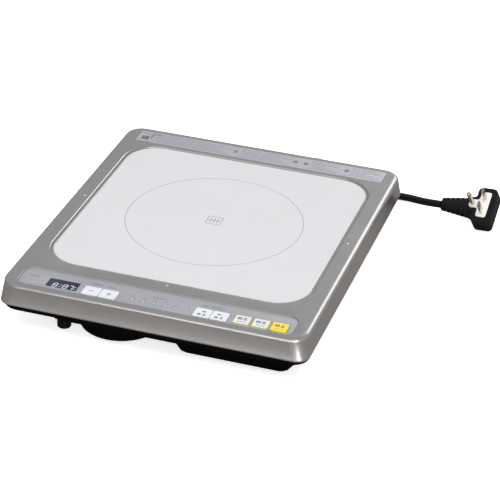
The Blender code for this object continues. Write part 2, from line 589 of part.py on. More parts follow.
def electronics():
    """Main board in the deep well with its heat sink and power parts."""
    level = 12.6 * MM
    board = (25.5 * MM, 120.4 * MM, -140 * MM, 100 * MM)
    plate = add("main_board", block("main_board", board, level - 1.6 * MM, level), "board")
    for at in coil_posts():
        if board[0] < at[0] < board[1]:
            cut(plate, drum("post_hole", 4.2 * MM, level - 3 * MM, level + 3 * MM, at, sides=12))
    seat = level + GAP
    sink = add("heat_sink", block("heat_sink", (34 * MM, 74 * MM, -132 * MM, -62 * MM), seat, 27 * MM), "aluminium")
    for k in range(6):
        y = -127 * MM + k * 11 * MM
        cut(sink, block("air_way", (33 * MM, 75 * MM, y, y + 5 * MM), seat + 3 * MM, 28 * MM))
    add("power_transistor", block("power_transistor", (80 * MM, 96 * MM, -124 * MM, -103 * MM), seat, 18 * MM,
                                  0.8 * MM, turns=1), "epoxy")
    add("bridge_rectifier", block("bridge_rectifier", (80 * MM, 110 * MM, -94 * MM, -89 * MM), seat, 29 * MM,
                                  0.8 * MM, turns=1), "epoxy")
    add("filter_choke", turned("filter_choke", ring_profile(10 * MM, 5 * MM, 8), (104 * MM, -60 * MM, seat + 5 * MM), 20), "copper")
    add("resonant_capacitor", block("resonant_capacitor", (86 * MM, 118 * MM, -34 * MM, -19 * MM), seat, 32 * MM, 1 * MM,
                                    turns=1), "capacitor")
    add("smoothing_capacitor", block("smoothing_capacitor", (86 * MM, 118 * MM, 40 * MM, 54 * MM), seat, 30 * MM,
                                     1 * MM, turns=1), "capacitor")


def ring_profile(middle, thick, count):
    """Closed round section of a ring, run down its outer side first."""
    turns = [math.pi / 2 - 2 * math.pi * k / count for k in range(count + 1)]
    return [(middle + thick * math.cos(a), thick * math.sin(a)) for a in turns]


# ---- mains lead ------------------------------------------------------------------------------------

def gland():
    """Tapered strain relief through the case's rear wall, with a groove that the wall sits in."""
    long = GLAND_TIP - GLAND_AT[1]
    profile = [
        (0, long), (4.5 * MM, long), (5.4 * MM, 6 * MM), (5.4 * MM, -2.4 * MM), (7 * MM, -2.4 * MM),
        (7 * MM, -5.4 * MM), (0, -5.4 * MM),
    ]
    add("cord_gland", turned("cord_gland", profile, GLAND_AT, 20, Matrix.Rotation(math.radians(-90), 4, "X")), "rubber")
    x, y, z = GLAND_AT
    clamp = (x - 12 * MM, x + 12 * MM, y - 32 * MM, y - 22 * MM)
    add("cord_clamp", block("cord_clamp", clamp, PAN_BOTTOM + WALL + GAP, 27 * MM, 2 * MM, turns=2), "dark_plastic")


def arc(centre, radius, first, last, count):
    """Points round an arc, from one angle to another, in degrees."""
    turns = [math.radians(first + (last - first) * k / count) for k in range(count + 1)]
    return [(centre[0] + radius * math.cos(a), centre[1] + radius * math.sin(a)) for a in turns]


def hank_outline():
    """Outside of the folded cord: round at both ends, drawn in at the middle where the tie holds it."""
    x, y = HANK_AT
    wide = FOLD + PLY + CORD_R
    waist = 1.5 * PLY + CORD_R + 1 * MM
    steps = [k / 6 for k in range(-5, 6)]
    right = arc((x + HANK_HALF, y + PLY / 2), wide - PLY / 2, -80, 90, 10)
    left = arc((x - HANK_HALF, y), wide, 90, 270, 12)

    def side(sign):
        return [(x + s * HANK_HALF, y + sign * (waist + (wide - waist) * ease(abs(s)))) for s in steps]
    near_end = [(x + HANK_HALF, y - wide), (x + HANK_HALF, y + PLY / 2 - (wide - PLY / 2))]
    return near_end + right + side(1)[::-1] + left + side(-1)


def ease(t):
    """Rises smoothly from 0 to 1."""
    return t * t * (3 - 2 * t)


def mains_lead():
    """The lead-in from the gland, the hank with its tie, and the last stretch to the plug."""
    tube("power_cord", smooth_route(LEAD_IN, 11 * MM), CORD_R, "cord")
    x, y = HANK_AT
    high = 2 * CORD_R
    hank = add("cord_hank", outline("cord_hank", hank_outline(), 0, high), "cord", smooth=False)
    upper = [(x - 4 * MM + (px - x) * 0.95, y - 1 * MM + (py - y) * 0.80) for px, py in hank_upper()]
    join(hank, outline("upper_ply", upper, high - 1 * MM, high + PLY * 0.86))
    tie_half = 5 * MM
    strap = (x - tie_half, x + tie_half, y - 22 * MM, y + 22 * MM)
    cut(hank, block("tie_groove", grown(strap, GAP), -1 * MM, 1.1 * MM))
    tie = add("cord_tie", block("cord_tie", strap, 0, high + PLY * 0.86 + 1.1 * MM, turns=2), "tie")
    cut(tie, block("tie_inside", (strap[0] - 1 * MM, strap[1] + 1 * MM, strap[2] + 0.9 * MM, strap[3] - 0.9 * MM),
                   0.8 * MM, high + PLY * 0.86 + GAP))
    tube("power_cord_end", smooth_route(LEAD_OUT, 11 * MM), CORD_R, "cord")


def hank_upper():
    """Outline of the upper layer, the lower one's without its step at the near right end."""
    x, y = HANK_AT
    wide = FOLD + PLY + CORD_R
    waist = 1.5 * PLY + CORD_R + 1 * MM
    steps = [k / 6 for k in range(-5, 6)]
    near = [(x + s * HANK_HALF, y - (waist + (wide - waist) * ease(abs(s)))) for s in steps]
    far = [(x + s * HANK_HALF, y + (waist + (wide - waist) * ease(abs(s)))) for s in steps]
    right = arc((x + HANK_HALF, y), wide, -90, 90, 12)
    left = arc((x - HANK_HALF, y), wide, 90, 270, 12)
    return near + right + far[::-1] + left


def plug():
    """Side-entry three-pin plug: head and boot, white face, two flat blades and a round earth pin."""
    holder = bpy.data.objects.new("plug_frame", None)
    holder.location = PLUG_AT
    holder.rotation_euler = Euler(PLUG_TURN)
    HOB.objects.link(holder)
    wide, tall, thick = PLUG_HEAD
    head = add("plug_body", block("plug_body", (-wide / 2, wide / 2, -tall / 2, tall / 2), -thick / 2, thick / 2,
                                  6 * MM, top=2 * MM, bottom=4 * MM, turns=3, edge_turns=2), "black_plastic")
    head.parent = holder
    neck = (-wide / 2 - 6 * MM, 0, -11.5 * MM, 10.5 * MM)
    join(head, block("neck", neck, -thick / 2 + 1 * MM, thick / 2 - 0.4 * MM, 3 * MM, top=1 * MM, bottom=3 * MM, turns=2))
    face = [(-5.4 * MM, 5.4 * MM, -14.5 * MM, 14.5 * MM), (-15.6 * MM, 0, -4.6 * MM, 4.6 * MM)]
    for box in face:
        cut(head, block("face_seat", grown(box, GAP), thick / 2 - 2 * MM, thick / 2 + 3 * MM, 2 * MM, turns=2))
    front = add("plug_face", block("plug_face", face[0], thick / 2 - 1.7 * MM, thick / 2 + 0.6 * MM, 2 * MM,
                                   turns=2), "white_plastic")
    front.parent = holder
    join(front, block("face_arm", face[1], thick / 2 - 1.7 * MM, thick / 2 + 0.6 * MM, 2 * MM, turns=2))
    pin_foot = thick / 2 + 0.6 * MM + GAP
    pins = {
        "blade_line": block("blade_line", (-0.8 * MM, 0.8 * MM, 4.8 * MM, 11.2 * MM), pin_foot, pin_foot + 17 * MM),
        "blade_neutral": block("blade_neutral", (-0.8 * MM, 0.8 * MM, -11.2 * MM, -4.8 * MM), pin_foot,
                               pin_foot + 17 * MM),
        "earth_pin": drum("earth_pin", 2.4 * MM, pin_foot, pin_foot + 20 * MM, (-11.9 * MM, 0), sides=16),
    }
    for name, mesh in pins.items():
        add(name, mesh, "nickel").parent = holder
    boot_profile = [(0, 0), (11.3 * MM, 0), (7.2 * MM, -30.6 * MM), (6.6 * MM, -31.2 * MM), (0, -31.2 * MM)]
    lay = Matrix.Rotation(math.radians(90), 4, "Y") @ Matrix.Diagonal((0.8, 1, 1, 1))
    boot = add("plug_boot", turned("plug_boot", boot_profile, (-wide / 2 - 6 * MM - GAP, -0.5 * MM, -0.5 * MM), 20, lay), "rubber")
    boot.parent = holder


for old in list(bpy.data.objects):
    bpy.data.objects.remove(old)
HOB = collection("induction_hob")
CUTTERS = collection("shaping_tools")
FINISH = {
    "steel": material("brushed_steel", (0.60, 0.59, 0.57), 0.35, 1.0),
    "glass": material("white_glass", (0.80, 0.82, 0.82), 0.12),
    "silicone": material("dark_silicone", (0.10, 0.10, 0.10), 0.6),
    "silicone_grey": material("grey_silicone", (0.45, 0.45, 0.45), 0.6),
    "overlay": material("blue_grey_film", (0.42, 0.44, 0.48), 0.45),
    "label": material("silver_film", (0.58, 0.58, 0.60), 0.4),
    "window": material("dark_window", (0.02, 0.02, 0.05), 0.2),
    "clear": material("clear_plastic", (0.75, 0.78, 0.80), 0.3),
    "key_white": material("white_keys", (0.85, 0.86, 0.88), 0.4),
    "key_yellow": material("yellow_key", (0.85, 0.60, 0.05), 0.4),
    "black_plastic": material("black_plastic", (0.012, 0.012, 0.013), 0.45),
    "dark_plastic": material("dark_grey_plastic", (0.05, 0.05, 0.055), 0.5),
    "white_plastic": material("white_plastic", (0.85, 0.84, 0.82), 0.4),
    "board": material("circuit_board", (0.03, 0.18, 0.08), 0.5),
    "copper": material("wound_copper", (0.60, 0.28, 0.12), 0.4, 0.8),
    "ferrite": material("ferrite", (0.06, 0.06, 0.065), 0.6),
    "mica": material("mica", (0.70, 0.66, 0.55), 0.4),
    "aluminium": material("aluminium", (0.72, 0.72, 0.73), 0.35, 1.0),
    "epoxy": material("black_epoxy", (0.02, 0.02, 0.02), 0.5),
    "capacitor": material("capacitor_case", (0.55, 0.42, 0.10), 0.45),
    "rubber": material("black_rubber", (0.015, 0.015, 0.015), 0.7),
    "zinc": material("zinc_plate", (0.65, 0.65, 0.64), 0.35, 1.0),
    "nickel": material("nickel_plate", (0.75, 0.70, 0.60), 0.25, 1.0),
    "cord": material("black_cord", (0.012, 0.012, 0.012), 0.55),
    "tie": material("grey_tie", (0.10, 0.10, 0.10), 0.5),
}
steel_top()
glass_and_seal()
rear_label()
control_strip()
lamp_guide()
keys()
keypad_and_board()
coil()
bottom_case()
feet_and_screws()
fan()
electronics()
gland()
mains_lead()
plug()
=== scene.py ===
"""Tabletop induction hob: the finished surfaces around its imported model. Metres, +Z up, +Y to the rear."""
import math

import bmesh
import bpy
import numpy as np
from mathutils import Euler, Matrix, Vector
from mathutils.geometry import tessellate_polygon


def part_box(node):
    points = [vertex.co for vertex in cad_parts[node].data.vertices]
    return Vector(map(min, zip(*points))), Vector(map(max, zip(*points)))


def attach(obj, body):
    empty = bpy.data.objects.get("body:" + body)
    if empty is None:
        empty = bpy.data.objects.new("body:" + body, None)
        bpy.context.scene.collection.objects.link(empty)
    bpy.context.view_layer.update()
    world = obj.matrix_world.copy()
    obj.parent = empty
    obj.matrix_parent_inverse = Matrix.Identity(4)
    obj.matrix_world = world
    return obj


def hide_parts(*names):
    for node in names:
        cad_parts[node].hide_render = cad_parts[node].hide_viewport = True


bl_info = {
    "name": "Induction Hob",
    "version": (1, 0, 0),
    "blender": (4, 5, 0),
    "location": "3D View > Sidebar > Hob",
    "description": "Builds a tabletop induction hob in brushed steel and white glass around its packed model",
    "category": "Object",
}

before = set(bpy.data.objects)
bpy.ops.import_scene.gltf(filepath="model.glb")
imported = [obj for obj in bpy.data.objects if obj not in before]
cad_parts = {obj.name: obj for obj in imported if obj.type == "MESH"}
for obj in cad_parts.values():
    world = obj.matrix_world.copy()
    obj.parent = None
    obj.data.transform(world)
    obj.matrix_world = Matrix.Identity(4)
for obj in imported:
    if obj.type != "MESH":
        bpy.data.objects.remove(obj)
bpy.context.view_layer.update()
MM = 0.001
HOUSING = "housing"
MADE = "hob_"             # starts the name of every finish made here


def span(node):
    """A node's extent seen from above, (x0, x1, y0, y1)."""
    low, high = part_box(node)
    return (low.x, high.x, low.y, high.y)


def bottom(node):
    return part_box(node)[0].z


def top(node):
    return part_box(node)[1].z


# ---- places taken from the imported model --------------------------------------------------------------

STEEL = span("top_frame")
STEEL_TOP, STEEL_LOW = top("top_frame"), bottom("top_frame")
GLASS = span("glass_plate")
OVERLAY = span("control_overlay")
OVERLAY_TOP = top("control_overlay")
DISPLAY = span("display_window")
LABEL = span("rear_label")
RING_CENTRE = (0.5 * MM, 8.6 * MM)

FLARE = 1.5 * MM
STEEL_CORNER = 18 * MM
HEM_CORNER = 12.5 * MM
GLASS_CORNER = 33 * MM
SEAL_WIDE = 2.3 * MM
PANEL_CORNER = 9 * MM
LEDGE_TOP = 43 * MM
TRAY_FLOOR = 47.4 * MM
SHEET = 1 * MM
GAP = 0.3 * MM

KEYS = {
    "key_minus": "minus",
    "key_plus": "plus",
    "key_left": "arrow_left",
    "key_right": "arrow_right",
    "key_mode_a": "rows",
    "key_mode_b": "rows",
    "key_power": "rows",
}
DIGIT_Y = -160.6 * MM
LAMP_COUNT, LAMP_FIRST, LAMP_PITCH, LAMP_Y = 6, -22.6 * MM, 10.7 * MM, -158.7 * MM
LENS_RADIUS, LENS_HOLE = 1.6 * MM, 1.9 * MM
TICKS = ((0.4, -126.6, 1.6, 2.2), (-136.8, 9.2, 2.2, 1.6), (136.8, 9.2, 2.2, 1.6))    # centre and size, mm
INK_LOW, INK_HIGH = -0.05 * MM, 0.02 * MM      # a print's two faces, against the surface that carries it

CORD_WIDTH = 7.8 * MM
CORD_EXIT = (60 * MM, 200 * MM, 20.5 * MM)
HANK_AT = (-5.0, 206.0)
HANK_HALF = 80.0
LEAD_OUT = [
    (84.6, 174.6, 4), (93.4, 178.2, 4), (101, 183.3, 4), (109, 190, 4), (118, 196.6, 4.1), (128, 201, 4.4),
    (139, 202.7, 5.1), (152, 200.2, 6.5), (166, 195.2, 8.3), (178, 189.8, 11), (190.4, 186, 13.4),
]
PLUG_AT = (238.2 * MM, 180.7 * MM, 19.2 * MM)
PLUG_TURN = (math.radians(35), math.radians(-6), math.radians(-8))
PLUG_WIDE, PLUG_TALL, PLUG_THICK = 20.5 * MM, 41 * MM, 21 * MM

# ---- the camera: where it looks, how far off it is, and how the picture is turned and shifted ----------

VIEW_AT, VIEW_DISTANCE = (52.2 * MM, -37.2 * MM, 50 * MM), 1.966
VIEW_AZIMUTH, VIEW_ELEVATION, VIEW_ROLL = math.radians(17.0), math.radians(29.95), math.radians(1.94)
VIEW_LENS, VIEW_SHIFT = 147.67, 0.001


# ---- settings that a user would change ---------------------------------------------------------------

def colour(name, description, default):
    return bpy.props.FloatVectorProperty(
        name=name, description=description, default=default, size=3, min=0, max=1, subtype="COLOR")


def length(name, description, default):
    return bpy.props.FloatProperty(name=name, description=description, default=default, min=0,
                                   subtype="DISTANCE", unit="LENGTH")


def share(name, description, default):
    return bpy.props.FloatProperty(name=name, description=description, default=default, min=0, max=1,
                                   subtype="FACTOR")


class HobSizes(bpy.types.PropertyGroup):
    """Sizes of the finer shapes."""

    steel_bend: length("Steel bend", "Radius of the steel's rounded upper edge", 5 * MM)
    lip_bend: length("Lip bend", "Radius of the steel's edge round the glass", 2 * MM)
    hem: length("Hem", "How far the folded hem stands out below the side wall", 0.2 * MM)
    ring_radius: length("Ring radius", "Radius of the printed cooking ring", 87.8 * MM)
    ring_line: length("Ring line", "Width of the printed ring's line", 1.0 * MM)
    key_dish: length("Key dish", "Depth of the hollow in a key's face", 0.15 * MM)


class HobFinish(bpy.types.PropertyGroup):
    """Colours and gloss."""

    steel: colour("Steel", "Brushed steel", (0.58, 0.565, 0.555))
    steel_rough: share("Steel roughness", "How soft the reflections in the steel are", 0.31)
    glass: colour("Glass", "White glass", (0.605, 0.61, 0.62))
    print: colour("Print", "Grey print on the glass", (0.40, 0.405, 0.415))
    overlay: colour("Control strip", "Blue-grey film of the control strip", (0.30, 0.305, 0.325))
    marks: colour("Marks", "Dark print on the strip, label and keys", (0.10, 0.10, 0.12))
    label: colour("Label", "Silver film at the rear", (0.35, 0.35, 0.375))
    key: colour("Keys", "White keys", (0.65, 0.665, 0.69))
    yellow: colour("Yellow", "Power key and key borders", (0.88, 0.60, 0.04))
    display: colour("Display", "Dark display window", (0.008, 0.009, 0.028))
    digits: colour("Digits", "Lit digits", (0.50, 0.53, 0.60))
    black: colour("Black", "Black plastic, rubber and cord", (0.0035, 0.0034, 0.0036))


# ---- surfaces ------------------------------------------------------------------------------------------

def grown(box, by):
    return (box[0] - by, box[1] + by, box[2] - by, box[3] + by)


def centred(at, wide, tall):
    """The box of a given size about a point."""
    return (at[0] - wide / 2, at[0] + wide / 2, at[1] - tall / 2, at[1] + tall / 2)


def rounded_rectangle(box, corner, per_corner=10):
    """Outline, anticlockwise: for each corner, its centre + corner * (cos a, sin a) over a quarter turn."""
    x0, x1, y0, y1 = box
    r = min(max(corner, 0.01 * MM), (x1 - x0) / 2, (y1 - y0) / 2)
    centres = np.array([(x1 - r, y1 - r), (x0 + r, y1 - r), (x0 + r, y0 + r), (x1 - r, y0 + r)])
    angles = np.linspace(0, math.pi / 2, per_corner + 1) + np.arange(4)[:, None] * math.pi / 2
    arcs = r * np.stack([np.cos(angles), np.sin(angles)], axis=-1)
    return (centres[:, None] + arcs).reshape(-1, 2)


def raised(outline, height):
    """A flat outline lifted to a height."""
    return np.column_stack([outline, np.full(len(outline), height)])


def rim(box, corner, profile, per_corner=10):
    """Rings round a rounded rectangle, one for each (growth, height) of the profile."""
    return np.stack([raised(rounded_rectangle(grown(box, out), corner + out, per_corner), z)
                     for out, z in profile])


def bend(radius, start, finish, steps, centre):
    """Profile points on a circle: centre + radius * (sin a, cos a), from one angle to another in degrees."""
    a = np.radians(np.linspace(start, finish, steps + 1))
    return [(centre[0] + radius * s, centre[1] + radius * c) for s, c in zip(np.sin(a), np.cos(a))]


def patch(rings, around=True, along=False):
    """A grid of rings as a surface: quad (i, j) joins points j and j + 1 of rings i and i + 1."""
    count, each = rings.shape[:2]
    i = np.arange(count if along else count - 1)[:, None]
    j = np.arange(each if around else each - 1)[None, :]
    i2, j2 = (i + 1) % count, (j + 1) % each
    quads = np.stack([i * each + j, i * each + j2, i2 * each + j2, i2 * each + j], axis=-1).reshape(-1, 4)
    return rings.reshape(-1, 3), quads.tolist()


def lid(ring):
    """A ring filled by one flat face."""
    return ring, [list(range(len(ring)))]


def closed(rings):
    """A surface through the rings with both ends filled."""
    return [patch(rings), lid(rings[0]), lid(rings[-1])]


def plane(height, *outlines):
    """A flat face at a height inside the first outline and outside the others, cut into triangles."""
    loops = [raised(outline, height) for outline in outlines]
    triangles = tessellate_polygon([[Vector(p) for p in loop] for loop in loops])
    return np.concatenate(loops), [list(t) for t in triangles]


def slab(box, corner, low, high, edge=0.1 * MM, holes=(), per_corner=4):
    """A plate with round corners, holes given as (box, corner), and its upper edges rounded off."""
    profile = [(0, low), (0, high - edge), (-0.3 * edge, high - 0.3 * edge), (-edge, high)]
    outside = rim(box, corner, profile, per_corner)
    walls = [rim(hole, r, [(-out, z) for out, z in profile], per_corner) for hole, r in holes]
    made = [patch(outside), *[patch(wall) for wall in walls]]
    made.append(plane(high, outside[-1][:, :2], *[wall[-1][:, :2] for wall in walls]))
    made.append(plane(low, outside[0][:, :2], *[wall[0][:, :2] for wall in walls]))
    return made


def round_corners(points, radius, steps=4):
    """Outline with each corner P replaced by (1-t)^2 A + 2t(1-t) P + t^2 B, A and B on its sides."""
    p = np.array(points, float)
    before, after = np.roll(p, 1, axis=0) - p, np.roll(p, -1, axis=0) - p
    a = p + radius * before / np.linalg.norm(before, axis=1, keepdims=True)
    b = p + radius * after / np.linalg.norm(after, axis=1, keepdims=True)
    t = np.linspace(0, 1, steps + 1)[None, :, None]
    return ((1 - t) ** 2 * a[:, None] + 2 * t * (1 - t) * p[:, None] + t**2 * b[:, None]).reshape(-1, 2)


def tile(outline, low, high):
    """A thin flat mark with the outline."""
    return closed(np.stack([raised(outline, low), raised(outline, high)]))


def turned(profile, sides=32, at=(0, 0, 0)):
    """Surface of revolution about Z: point (r, z) becomes (r cos a, r sin a, z)."""
    a = np.linspace(0, 2 * math.pi, sides, endpoint=False)
    p = np.array(profile, float)
    heights = np.repeat(p[:, 1:], sides, axis=1)
    rings = np.stack([p[:, :1] * np.cos(a), p[:, :1] * np.sin(a), heights], axis=-1)
    return closed(rings + np.array(at))


def moved(patches, matrix):
    """The patches carried by a matrix."""
    m = np.array(matrix)
    return [(np.asarray(v) @ m[:3, :3].T + m[:3, 3], f) for v, f in patches]


def tube(path, radius, sides=18):
    """A round cord: path point + radius * (side cos a + up sin a), side level and up square to the path."""
    along = np.gradient(path, axis=0)
    along /= np.linalg.norm(along, axis=1, keepdims=True)
    side = np.cross(along, (0, 0, 1))
    side /= np.linalg.norm(side, axis=1, keepdims=True)
    lift = np.cross(side, along)
    a = np.linspace(0, 2 * math.pi, sides, endpoint=False)[None, :, None]
    return path[:, None] + radius * (side[:, None] * np.cos(a) + lift[:, None] * np.sin(a))


def piece(name, groups, body=HOUSING, stands_for=(), sharp=35):
    """Makes an object of (patches, material) groups, merges their seams and turns every face outwards."""
    verts, faces, finish = [], [], []
    start = 0
    for k, (patches, _) in enumerate(groups):
        for points, polygons in patches:
            verts.append(np.asarray(points, float))
            faces += [[i + start for i in polygon] for polygon in polygons]
            finish += [k] * len(polygons)
            start += len(points)
    mesh = bpy.data.meshes.new(name)
    mesh.from_pydata(np.concatenate(verts), [], faces)
    mesh.polygons.foreach_set("material_index", np.array(finish, np.int32))
    for _, material in groups:
        mesh.materials.append(material)
    bm = bmesh.new()
    bm.from_mesh(mesh)
    bmesh.ops.remove_doubles(bm, verts=bm.verts, dist=0.002 * MM)
    bmesh.ops.recalc_face_normals(bm, faces=bm.faces)
    bm.to_mesh(mesh)
    bm.free()
    mesh.shade_smooth()
    mesh.set_sharp_from_angle(angle=math.radians(sharp))
    made = bpy.data.objects.new(name, mesh)
    bpy.context.scene.collection.objects.link(made)
    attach(made, body)
    if stands_for:
        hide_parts(*stands_for)
    return made


# ---- finishes ------------------------------------------------------------------------------------------

def shader(name, base, rough, metallic=0.0, coat=0.0, glow=0.0, shine=0.5):
    """A Principled material with its constants on its own sockets."""
    material = bpy.data.materials.new(MADE + name)
    material.use_nodes = True
    main = principled(material)
    main.inputs["Base Color"].default_value = (*base, 1)
    main.inputs["Roughness"].default_value = rough
    main.inputs["Metallic"].default_value = metallic
    main.inputs["Specular IOR Level"].default_value = shine
    if coat:
        main.inputs["Coat Weight"].default_value = coat
        main.inputs["Coat Roughness"].default_value = 0.08
    if glow:
        main.inputs["Emission Color"].default_value = (*base, 1)
        main.inputs["Emission Strength"].default_value = glow
    return material


def node(material, kind, **values):
    """Adds a shader node and sets its inputs or properties by name."""
    made = material.node_tree.nodes.new(kind)
    for key, value in values.items():
        label = key.replace("_", " ").title()
        if label in made.inputs:
            made.inputs[label].default_value = value
        else:
            setattr(made, key, value)
    return made


def principled(material):
    return material.node_tree.nodes["Principled BSDF"]


def ink(surface):
    """Heights of the lower and upper face of a print on a surface."""
    return surface + INK_LOW, surface + INK_HIGH


def link(material, out, into):
    material.node_tree.links.new(out, into)


def noise(material, stretch, detail=3.0):
    """Noise on object coordinates, stretched by a scale along each axis. Gives the Fac output."""
    place = node(material, "ShaderNodeTexCoord")
    scaled = node(material, "ShaderNodeMapping", scale=stretch)
    grain = node(material, "ShaderNodeTexNoise", scale=1.0, detail=detail, roughness=0.6)
    link(material, place.outputs["Object"], scaled.inputs["Vector"])
    link(material, scaled.outputs["Vector"], grain.inputs["Vector"])
    return grain.outputs["Fac"]


def bumped(material, height, strength, depth, onto=None):
    """Feeds a height into the shader's normal."""
    bump = node(material, "ShaderNodeBump", strength=strength, distance=depth)
    link(material, height, bump.inputs["Height"])
    if onto:
        link(material, onto, bump.inputs["Normal"])
    link(material, bump.outputs["Normal"], principled(material).inputs["Normal"])
    return bump.outputs["Normal"]


def ranged(material, value, low, high, into):
    """Spreads a 0 to 1 value between two numbers and feeds an input of the shader."""
    mapped = node(material, "ShaderNodeMapRange")
    mapped.inputs["From Min"].default_value = 0.3
    mapped.inputs["From Max"].default_value = 0.7
    mapped.inputs["To Min"].default_value = low
    mapped.inputs["To Max"].default_value = high
    link(material, value, mapped.inputs["Value"])
    link(material, mapped.outputs["Result"], principled(material).inputs[into])


def tinted(material, value, dark, light, into="Base Color"):
    """Blends two colours by a value and feeds them to the shader."""
    ramp = node(material, "ShaderNodeValToRGB")
    ramp.color_ramp.elements[0].position = 0.3
    ramp.color_ramp.elements[1].position = 0.7
    ramp.color_ramp.elements[0].color = (*dark, 1)
    ramp.color_ramp.elements[1].color = (*light, 1)
    link(material, value, ramp.inputs["Fac"])
    link(material, ramp.outputs["Color"], principled(material).inputs[into])
    return ramp.outputs["Color"]


def shaded(base, by):
    return tuple(min(1.0, c * by) for c in base)


def brushed_metal(name, base, rough, stretch=(30, 2500, 2500), depth=0.004 * MM):
    """Metal with fine drawn lines along X, a little uneven in tone and gloss."""
    material = shader(name, base, rough, metallic=1.0)
    lines = noise(material, stretch)
    clouds = noise(material, (14, 14, 14), detail=2.0)
    tinted(material, clouds, shaded(base, 0.95), shaded(base, 1.05))
    ranged(material, lines, rough - 0.04, rough + 0.06, "Roughness")
    bumped(material, lines, 0.35, depth)
    return material


def moulded(name, base, rough, grain=1400, strength=0.25, spread=0.12, coat=0.0, shine=0.5):
    """Plastic, rubber or film with a fine even grain and a soft change of tone."""
    material = shader(name, base, rough, coat=coat, shine=shine)
    fine = noise(material, (grain, grain, grain), detail=2.0)
    broad = noise(material, (22, 22, 22), detail=2.0)
    tinted(material, broad, shaded(base, 1 - spread), shaded(base, 1 + spread))
    ranged(material, fine, rough - 0.04, rough + 0.05, "Roughness")
    bumped(material, fine, strength, 0.02 * MM)
    return material


def printed_glass(look, sizes):
    """White glass with a printed ring, which shows where the distance from the centre is near its radius."""
    material = moulded("white_glass", tuple(look.glass), 0.10, grain=60, strength=0.02, spread=0.012,
                       coat=0.5)
    main = principled(material)
    plain = main.inputs["Base Color"].links[0].from_socket
    place = node(material, "ShaderNodeTexCoord")
    moved_to = node(material, "ShaderNodeMapping", location=(-RING_CENTRE[0], -RING_CENTRE[1], 0),
                    scale=(1, 1, 0))
    far = node(material, "ShaderNodeVectorMath", operation="LENGTH")
    near = node(material, "ShaderNodeMath", operation="SUBTRACT")
    near.inputs[1].default_value = sizes.ring_radius
    size = node(material, "ShaderNodeMath", operation="ABSOLUTE")
    inside = node(material, "ShaderNodeMapRange")
    inside.inputs["From Min"].default_value = sizes.ring_line / 2 - 0.15 * MM
    inside.inputs["From Max"].default_value = sizes.ring_line / 2 + 0.15 * MM
    inside.inputs["To Min"].default_value = 1.0
    inside.inputs["To Max"].default_value = 0.0
    mix = node(material, "ShaderNodeMix", data_type="RGBA")
    mix.inputs[7].default_value = (*look.print, 1)
    link(material, place.outputs["Object"], moved_to.inputs["Vector"])
    link(material, moved_to.outputs["Vector"], far.inputs[0])
    link(material, far.outputs["Value"], near.inputs[0])
    link(material, near.outputs["Value"], size.inputs[0])
    link(material, size.outputs["Value"], inside.inputs["Value"])
    link(material, inside.outputs["Result"], mix.inputs["Factor"])
    link(material, plain, mix.inputs[6])
    link(material, mix.outputs[2], main.inputs["Base Color"])
    return material


def finishes():
    """Every finish by name, made once."""
    if MADE + "brushed_steel" in bpy.data.materials:
        return made_finishes()
    look, sizes = bpy.context.scene.hob_finish, bpy.context.scene.hob_sizes
    black = tuple(look.black)
    brushed_metal("brushed_steel", tuple(look.steel), look.steel_rough)
    printed_glass(look, sizes)
    moulded("glass_print", shaded(look.print, 0.62), 0.35, strength=0.05)
    moulded("seal_silicone", (0.27, 0.265, 0.26), 0.6, spread=0.05)
    moulded("strip_film", tuple(look.overlay), 0.42, grain=2200, strength=0.2, spread=0.04)
    moulded("strip_marks", tuple(look.marks), 0.5, strength=0.1)
    # grey print, also used for the painted shade under each lamp's lens
    moulded("grey_marks", shaded(look.marks, 1.9), 0.5, strength=0.1)
    moulded("pale_marks", (0.62, 0.63, 0.66), 0.4, strength=0.1, spread=0.03)
    moulded("label_film", tuple(look.label), 0.38, grain=900, strength=0.1, spread=0.05)
    moulded("white_key", tuple(look.key), 0.35, grain=1800, strength=0.08, spread=0.02)
    moulded("yellow_key", tuple(look.yellow), 0.35, grain=1800, strength=0.08, spread=0.04)
    moulded("key_border", (0.62, 0.58, 0.20), 0.35, grain=1800, strength=0.08, spread=0.04)
    moulded("display_glass", tuple(look.display), 0.12, grain=80, strength=0.02, spread=0.2, coat=0.3)
    shader("lit_digits", tuple(look.digits), 0.4, glow=0.5)
    shader("unlit_digits", shaded(look.display, 4.0), 0.4)
    moulded("lamp_lens", (0.44, 0.45, 0.47), 0.3, grain=500, strength=0.1, spread=0.03)
    moulded("black_case", shaded(black, 0.45), 0.55, grain=1500, strength=0.3, shine=0.06)
    moulded("black_rubber", black, 0.5, grain=1100, strength=0.25, shine=0.3)
    moulded("cord_jacket", black, 0.42, grain=900, strength=0.15, shine=0.35)
    moulded("tie_strip", (0.02, 0.02, 0.022), 0.7, grain=2600, strength=0.5)
    moulded("white_face", (0.80, 0.78, 0.77), 0.35, grain=900, strength=0.1, spread=0.03)
    moulded("dark_plastic", (0.04, 0.04, 0.045), 0.5)
    moulded("board_green", (0.02, 0.14, 0.06), 0.45, grain=700, strength=0.15)
    moulded("mica_sheet", (0.66, 0.61, 0.50), 0.4, grain=300, strength=0.2)
    moulded("ferrite", (0.05, 0.05, 0.055), 0.65, grain=2000, strength=0.4)
    moulded("grey_silicone", (0.42, 0.42, 0.43), 0.6)
    moulded("epoxy_black", (0.015, 0.015, 0.017), 0.5)
    moulded("capacitor_case", (0.50, 0.38, 0.09), 0.45)
    brushed_metal("wound_copper", (0.62, 0.30, 0.14), 0.38, stretch=(900, 900, 900), depth=0.02 * MM)
    brushed_metal("aluminium", (0.72, 0.72, 0.73), 0.35, stretch=(2000, 40, 2000))
    brushed_metal("zinc_plate", (0.63, 0.63, 0.62), 0.32, stretch=(600, 600, 600))
    brushed_metal("pin_plate", (0.72, 0.64, 0.50), 0.24, stretch=(1500, 1500, 60))
    return made_finishes()


def made_finishes():
    return {m.name.removeprefix(MADE): m for m in bpy.data.materials if m.name.startswith(MADE)}


# ---- operators -----------------------------------------------------------------------------------------

